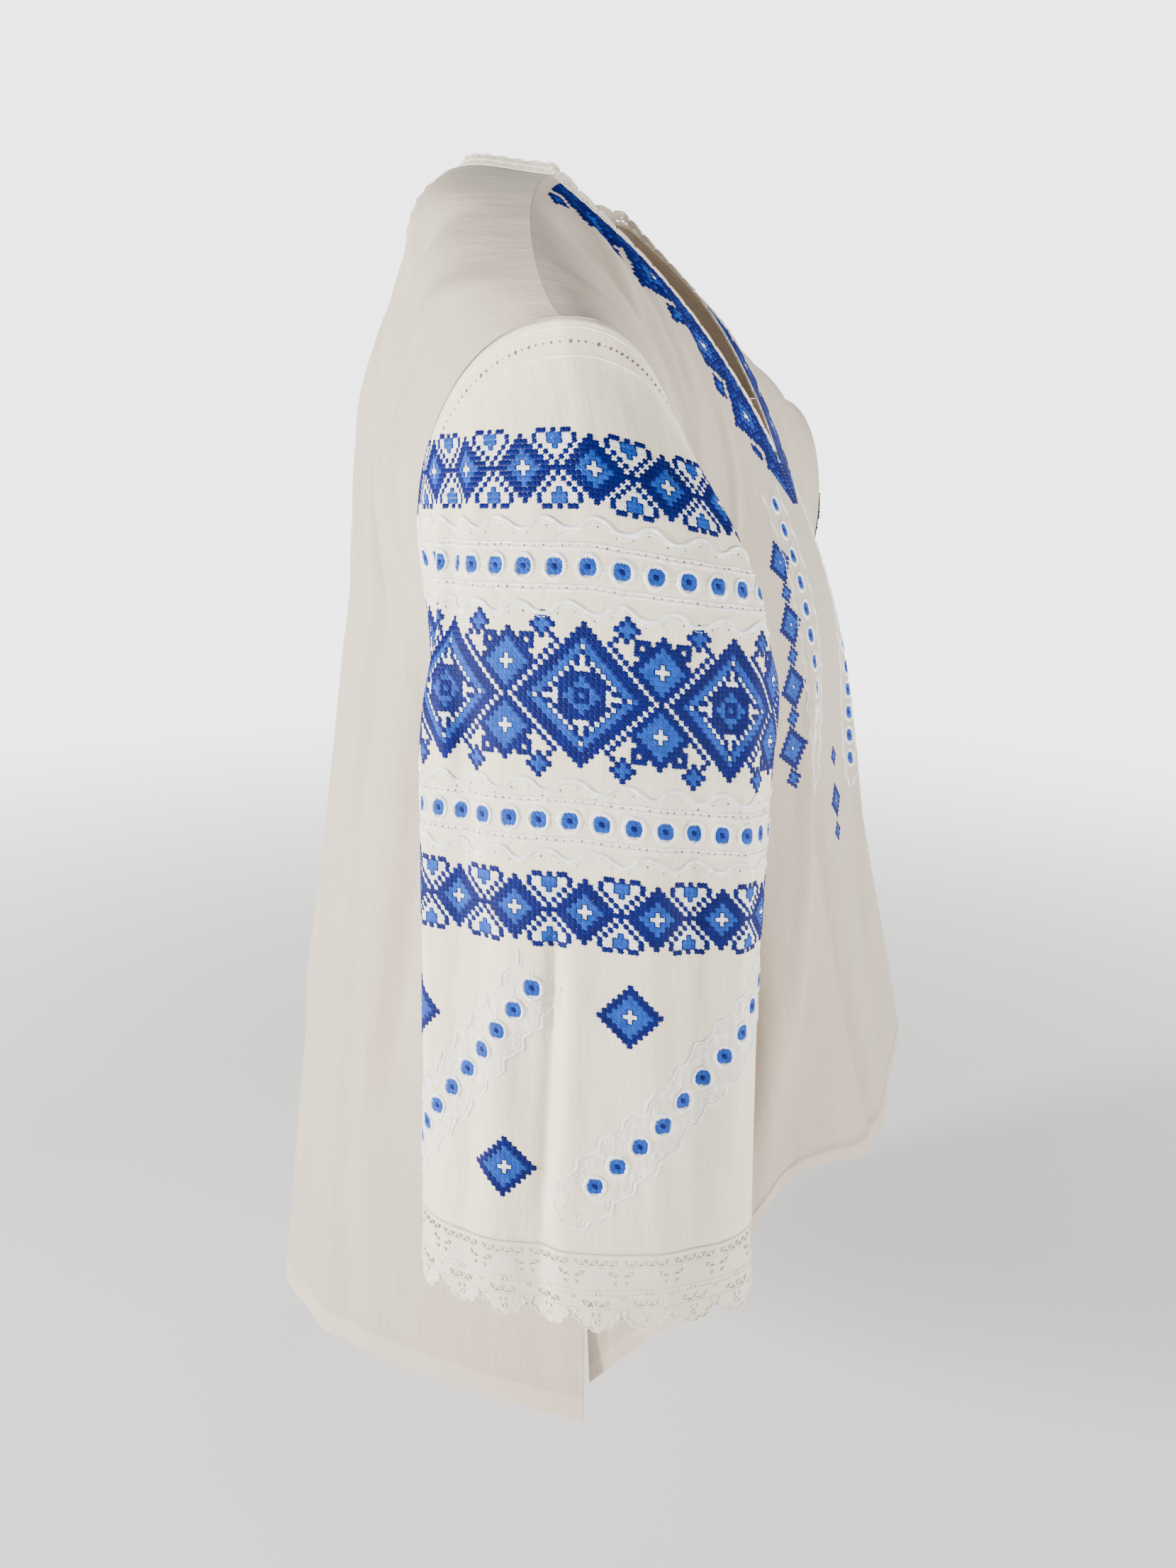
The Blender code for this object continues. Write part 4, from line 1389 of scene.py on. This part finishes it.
# Single diamonds: how far dark blue, light blue and white reach, then cells round and the height of each
LONE_DIAMOND = (6, 4, 1)
LONE_DIAMONDS = ((10.7, -39.1), (-16.2, -46.9), (-38.8, -40.2), (64.0, -39.4), (-70.0, -46.9))


def relief_rows(work, cloth):
    """White rows round a sleeve: eyelets between ladders of double lines and waves."""
    for height, pitch, first, doubles, waves in RELIEF_ROWS:
        share = cloth.place(np.zeros(1), np.array([height]))[1][0]
        row = int(share * (len(cloth.shares) - 1))
        low, high = cloth.ends[row]
        steps = np.arange(math.ceil((low / work.cell - first) / pitch), (high / work.cell - first) / pitch)
        for step in steps:
            arc = (first + step * pitch) * work.cell
            work.eyelet(arc, height)
            for side in (-0.24, 0.24):
                between = arc + np.linspace(0.26, 0.74, 5) * pitch * work.cell
                bow = side * (1.0 - 0.5 * np.sin(np.linspace(0.0, math.pi, 5)))
                work.line(between, height + bow, 0.028, 0.028)
        plain = np.arange(low, high, 0.32)
        for double in doubles:
            for off in (-0.10, 0.10):
                work.line(plain, double + off + 0.012 * np.sin(plain * 3.1), 0.060, 0.050)
            # Drawn holes along the double line, as spots of painted shade
            work.hole_shade_row(np.arange(low, high, 0.40), double)
        fine = np.arange(low, high, 0.16)
        for wave in waves:
            swing = np.sin(fine * 2.0 * math.pi / 2.25 + wave)
            shape = 0.24 * np.sign(swing) * np.abs(swing) ** 0.75
            work.line(fine, wave + shape + 0.03 * np.sin(fine * 5.3), 0.105, 0.080)
            work.line(fine, wave + shape * 0.9 - 0.19, 0.035, 0.035)
            # Drawn holes under the wave, as spots of painted shade
            spots = np.arange(low, high, 0.75)
            work.hole_shade_row(spots, wave - 0.30 + 0.2 * np.sin(spots * 2.0 * math.pi / 2.25 + wave), 0.036)


# Shares from the armhole to the cuff where the seam's two threads lie, and its row of drawn holes as spots of
# painted shade
ARMHOLE_THREADS = (0.010, 0.040)
ARMHOLE_HOLE_SHADE = 0.025


def armhole_seam(work, cloth):
    """The hemstitched seam round the armhole: two fine threads, with drawn holes between them as spots of
    painted shade.
    """
    turn = np.linspace(-math.pi, math.pi, 181)[:-1]
    for share in ARMHOLE_THREADS:
        points, out = cloth.at(turn, np.full_like(turn, share))
        work.parts["w"].append(thread(points + out * 0.045, out, 0.035, 0.035, True))
    # Drawn holes between the seam's threads, as spots of painted shade
    turn = np.linspace(-math.pi, math.pi, 150)[:-1]
    share = np.full_like(turn, ARMHOLE_HOLE_SHADE)
    points, out = cloth.at(turn, share)
    ahead = unit(cloth.at(turn + 0.02, share)[0] - points)
    work.holes(points + out * 0.045, out, ahead, np.cross(out, ahead), 0.065)


def slanting_bands(work):
    """White bands that slant down the forearm.

    Each has eyelets between two strips of raised stitches with scalloped edges.
    """
    for upper, lower in SLANTS:
        rise = SLANT_TOP - SLANT_BOTTOM
        run = (upper - lower) * work.cell
        length = math.hypot(rise, run)
        way = np.array([-run, -rise]) / length
        side = np.array([-way[1], way[0]])
        start = np.array([upper * work.cell, SLANT_TOP])
        spots = np.arange(0.3, length + 0.3, 1.42)
        for spot in spots:
            work.eyelet(*(start + way * spot))
        for facing in (-1.0, 1.0):
            run_along = np.arange(-0.7, length + 1.3, 0.13)
            close = np.clip(1.0 - ((run_along - length) / 1.3).clip(0.0, 1.0) ** 2, 0.0, 1.0) ** 0.5
            scallops = 0.15 * np.sin(run_along * 2.0 * math.pi / 1.5 + facing)
            edge = 1.42 + scallops + 0.06 * np.sin(run_along * 9.0)
            for off, half_width, lift in SLANT_LINES:
                away = facing * (edge * 0.9 + off) * close
                line = start[:, None] + way[:, None] * run_along + side[:, None] * away
                work.line(line[0], line[1], half_width, lift)
        j = np.arange(0, int(rise / work.cell) + 3)[:, None]
        i = np.arange(-9, 10)[None, :]
        height = SLANT_TOP - j * work.cell + 0.0 * i
        centre = np.round((start[0] + way[0] / way[1] * (height - SLANT_TOP)) / work.cell)
        arc = (centre + i) * work.cell
        off = np.abs((arc - start[0]) * side[0] + (height - SLANT_TOP) * side[1])
        sewn = (off > 0.66) & (off < 1.08) & (np.mod(i + j, 2) == 0)
        work.cells(arc, height, np.where(sewn, "w", "."))
        # Drawn holes in some bare cells, as spots of painted shade
        bare = (off > 0.66) & (off < 1.08) & (np.mod(i + j, 2) == 1) & (np.mod(i * 3 + j, 4) == 0)
        work.hole_shade_row(arc[bare], height[bare], 0.034)


class BLOUSE_OT_sleeve_stitches(bpy.types.Operator):
    """Makes the sleeves' cross stitch bands, white relief rows, slanting bands and single diamonds"""

    bl_idname = "blouse.sleeve_stitches"
    bl_label = "Sleeve embroidery"

    def execute(self, context):
        for seed, word in enumerate(("right", "left")):
            cloth = SleeveCloth(word)
            work = Needlework(cloth.frame, 40 + seed)
            for height in NARROW_ROWS:
                work.band(narrow_band, 7, NARROW_REPEAT, 1.5, height)
            work.band(wide_band, 15, WIDE_REPEAT, 0.0, WIDE_ROW)
            relief_rows(work, cloth)
            slanting_bands(work)
            armhole_seam(work, cloth)
            for place, height in LONE_DIAMONDS:
                work.motif(diamond(*LONE_DIAMOND), LONE_DIAMOND[0], place * work.cell, height, True)
            work.write(word, flosses())
        return {"FINISHED"}


# Front: the middle of its pattern leans a little to the wearer's right as it goes down
FRONT_LEAN = 0.12
FRONT_LEAN_FROM = -21.0
CHAIN_ROWS = (-20.2, -23.4, -26.6, -29.8)
CHAIN_LINK = -1.6
EYELET_COLUMNS = 4.3
EYELET_TOP = -17.4
EYELET_STEP = 1.42
EYELETS = 12
NECK_BAND = 20
NECK_FOOT = -17.6
# Threads beside a column of eyelets: centimetres from its middle, half width and rise
COLUMN_LINES = ((1.35, 0.060, 0.050), (1.12, 0.028, 0.030), (0.70, 0.028, 0.030))
# Diamonds on the front's middle: height, then how far dark blue, light blue and white reach
MIDDLE_DIAMONDS = ((-34.8, 4, 2, 0), (-32.2, 2, 1, -1), (-36.6, 2, 1, -1))


def front_middle(z):
    """How far the pattern's middle has leant at a height."""
    return FRONT_LEAN * np.minimum(np.asarray(z, float) - FRONT_LEAN_FROM, 0.0)


def neck_band(step, row):
    """Thread of each cell of the band beside the neckline; step counts cells out from it, row along it."""
    along = folded(row, NECK_BAND)
    thread = np.full(step.shape, ".")
    middle = NECK_BAND // 2
    ring = np.abs(step - middle) + along
    thread[(step >= 1) & (step <= middle)] = "#"
    thread[(step >= 2) & (step <= 6) & (along >= 7) & (np.mod(step + row, 3) == 0)] = "o"
    thread[ring <= middle] = "#"
    thread[(ring == 7) & (np.mod(step, 2) == 1)] = "o"
    thread[(ring == 4) | (ring == 3)] = "o"
    thread[ring <= 1] = "w"
    heart = np.abs(step - middle - 7) + np.abs(along - middle)
    thread[heart <= 3] = "#"
    thread[heart <= 1] = "o"
    thread[(step < 1) | (step > NECK_BAND)] = "."
    return thread


class BLOUSE_OT_front_stitches(bpy.types.Operator):
    """Makes the front's embroidery: the neckline's band, chains of diamonds and relief columns"""

    bl_idname = "blouse.front_stitches"
    bl_label = "Front embroidery"

    def execute(self, context):
        cloth = FrontCloth()
        work = Needlework(cloth.frame, 50)
        foot = cloth.up_to(NECK_FOOT)
        rows = np.arange(0, int((cloth.rise[-1] - foot) / work.cell))
        i, j = np.meshgrid(np.arange(-50, 51), rows)
        rise = foot + j * work.cell
        neck = np.round(cloth.neck_arc(rise) / work.cell)
        step = (np.abs(i) - neck).astype(int)
        taper = np.abs(i) <= 3 + j * 1.1
        pattern = neck_band(step, j - 4)
        work.cells(i * work.cell, rise, np.where(taper, pattern, "."), True)
        for facing in (-1.0, 1.0):
            for row in CHAIN_ROWS:
                for z, dark, light, white in ((row, 5, 3, 0), (row + CHAIN_LINK, 2, 1, -1)):
                    x = front_middle(z) + facing * (6.2 + 0.10 * (CHAIN_ROWS[0] - z))
                    work.motif(diamond(dark, light, white), dark, x, cloth.up_to(z), True)
            heights = EYELET_TOP - EYELET_STEP * np.arange(EYELETS)
            for z in heights:
                work.eyelet(front_middle(z) + facing * EYELET_COLUMNS, cloth.up_to(z))
            run = np.arange(EYELET_TOP + 0.9, heights[-1] - 1.9, -0.14)
            close = np.clip((run - run[-1]) / 1.9, 0.0, 1.0) ** 0.6
            for side in (-1.0, 1.0):
                for off, half_width, lift in COLUMN_LINES:
                    wave = off + (0.13 * np.sin(run * 2.0 * math.pi / 1.42) if off > 1.0 else 0.0)
                    x = front_middle(run) + facing * EYELET_COLUMNS + side * wave * close
                    work.line(x, cloth.up_to(run), half_width, lift)
        for z, dark, light, white in MIDDLE_DIAMONDS:
            work.motif(diamond(dark, light, white), dark, front_middle(z), cloth.up_to(z), True)
        work.write("front", flosses())
        return {"FINISHED"}


FLOOR_REACH = 40.0
FLOOR_GAP = 0.10
FLOOR_GLOW = 4.0
WORLD_GLOW = 3.7
LAMPS = (
    # name, place, size, power, colour
    ("key", (-1.9, 2.1, 0.0), 0.4, 190.0, (1.0, 0.98, 0.95)),
    ("side", (0.0, -2.8, -0.1), 0.5, 80.0, (1.0, 0.99, 0.97)),
    ("rim", (2.6, -0.8, 0.3), 0.8, 14.0, (0.98, 0.99, 1.0)),
)
LAMP_TARGET = (0.0, 0.0, -0.3)
# The camera: its turn round the blouse and downward pitch in degrees, its distance and height in metres
VIEW_TURN = 290.0
VIEW_PITCH = 13.0
VIEW_AWAY = 0.77
VIEW_HEIGHT = -0.175
# Focal length and height of the photograph's frame, both in its pixels
FOCAL_PIXELS = 1700.0
FRAME_PIXELS = 2212.0
SENSOR = 36.0


def grey(level):
    """A plain grey, as the nodes take it."""
    return (level, level, level, 1.0)


class BLOUSE_OT_stage(bpy.types.Operator):
    """Makes the pale floor, the soft light and the camera"""

    bl_idname = "blouse.stage"
    bl_label = "Stage"

    def execute(self, context):
        mesh = bpy.data.meshes.new("floor")
        signs = ((-1.0, -1.0), (1.0, -1.0), (1.0, 1.0), (-1.0, 1.0))
        corners = [(x * FLOOR_REACH, y * FLOOR_REACH, 0.0) for x, y in signs]
        mesh.from_pydata(corners, [], [(0, 1, 2, 3)])
        made, shader, start = new_material("floor", 0.9)
        place = start.node("ShaderNodeTexCoord", output=3)
        speck = place.noise(3.0, 3.0, 0.6)
        feed(shader, "Base Color", speck.blend(rgba(colours().floor, 0.97), rgba(colours().floor, 1.02)))
        # Painted light: the floor glows, dim within about half a metre of the blouse and near white beyond,
        # so it shows as a bright backdrop and is darker round the blouse
        away = place.node("ShaderNodeVectorMath", {"operation": "LENGTH"}, {0: place}, output=1)
        far = away.node("ShaderNodeMapRange", {"interpolation_type": "SMOOTHSTEP"}, {0: away, 1: 0.5, 2: 3.5})
        feed(shader, "Emission Color", far.blend(grey(0.12), grey(0.92)))
        shader.inputs["Emission Strength"].default_value = FLOOR_GLOW
        mesh.materials.append(made)
        floor = bpy.data.objects.new("floor", mesh)
        floor.location.z = CAD_BOX[0][2] - FLOOR_GAP
        context.scene.collection.objects.link(floor)
        world = bpy.data.worlds.new("studio")
        world.use_nodes = True
        height = Signal(world.node_tree).node("ShaderNodeTexCoord").part("Z")
        fade = height.node("ShaderNodeMapRange", links={0: height, 1: 0.30, 2: 0.42})
        around = fade.blend(grey(0.15), grey(0.02))
        seen = height.node("ShaderNodeLightPath")
        background = world.node_tree.nodes["Background"]
        feed(background, "Color", seen.blend(around, grey(1.0)))
        background.inputs["Strength"].default_value = WORLD_GLOW
        context.scene.world = world
        target = Vector(LAMP_TARGET)
        for name, place, size, power, tint in LAMPS:
            lamp = bpy.data.lights.new(name, "AREA")
            lamp.size = size
            lamp.energy = power
            lamp.color = tint
            made = bpy.data.objects.new(name, lamp)
            made.location = place
            made.rotation_euler = (target - Vector(place)).to_track_quat("-Z", "Y").to_euler()
            context.scene.collection.objects.link(made)
        view = math.radians(VIEW_TURN)
        pitch = math.radians(VIEW_PITCH)
        back = Vector((math.sin(view), -math.cos(view), 0.0))
        camera = bpy.data.cameras.new("camera")
        camera.sensor_fit = "VERTICAL"
        camera.sensor_height = SENSOR
        camera.lens = SENSOR * FOCAL_PIXELS / FRAME_PIXELS
        camera.clip_start = 0.05
        made = bpy.data.objects.new("camera", camera)
        made.location = back * VIEW_AWAY + Vector((0.0, 0.0, VIEW_HEIGHT))
        ahead = -back * math.cos(pitch) - Vector((0.0, 0.0, math.sin(pitch)))
        made.rotation_euler = ahead.to_track_quat("-Z", "Y").to_euler()
        context.scene.collection.objects.link(made)
        context.scene.camera = made
        return {"FINISHED"}


OPERATORS = (
    BLOUSE_OT_body,
    BLOUSE_OT_sleeves,
    BLOUSE_OT_cuff_lace,
    BLOUSE_OT_neck_lace,
    BLOUSE_OT_sleeve_stitches,
    BLOUSE_OT_front_stitches,
    BLOUSE_OT_stage,
)


class BLOUSE_PT_makers(bpy.types.Panel):
    """Lists the makers of the blouse, its sizes and its colours"""

    bl_label = "Folk Blouse"
    bl_idname = "BLOUSE_PT_makers"
    bl_space_type = "VIEW_3D"
    bl_region_type = "UI"
    bl_category = "Blouse"

    def draw(self, context):
        for settings in (context.scene.blouse_sizes, context.scene.blouse_colours):
            box = self.layout.box()
            for name in settings.bl_rna.properties.keys():
                if name not in ("rna_type", "name"):
                    box.prop(settings, name)
        for operator in OPERATORS:
            self.layout.operator(operator.bl_idname)


CLASSES = (BlouseSizes, BlouseColours) + OPERATORS + (BLOUSE_PT_makers,)


def register():
    for one in CLASSES:
        bpy.utils.register_class(one)
    bpy.types.Scene.blouse_sizes = PointerProperty(type=BlouseSizes)
    bpy.types.Scene.blouse_colours = PointerProperty(type=BlouseColours)


def unregister():
    del bpy.types.Scene.blouse_colours
    del bpy.types.Scene.blouse_sizes
    for one in reversed(CLASSES):
        bpy.utils.unregister_class(one)


def main():
    """Makes every piece in order."""
    register()
    for operator in OPERATORS:
        group, name = operator.bl_idname.split(".")
        getattr(getattr(bpy.ops, group), name)()


if __name__ == "__main__":
    main()
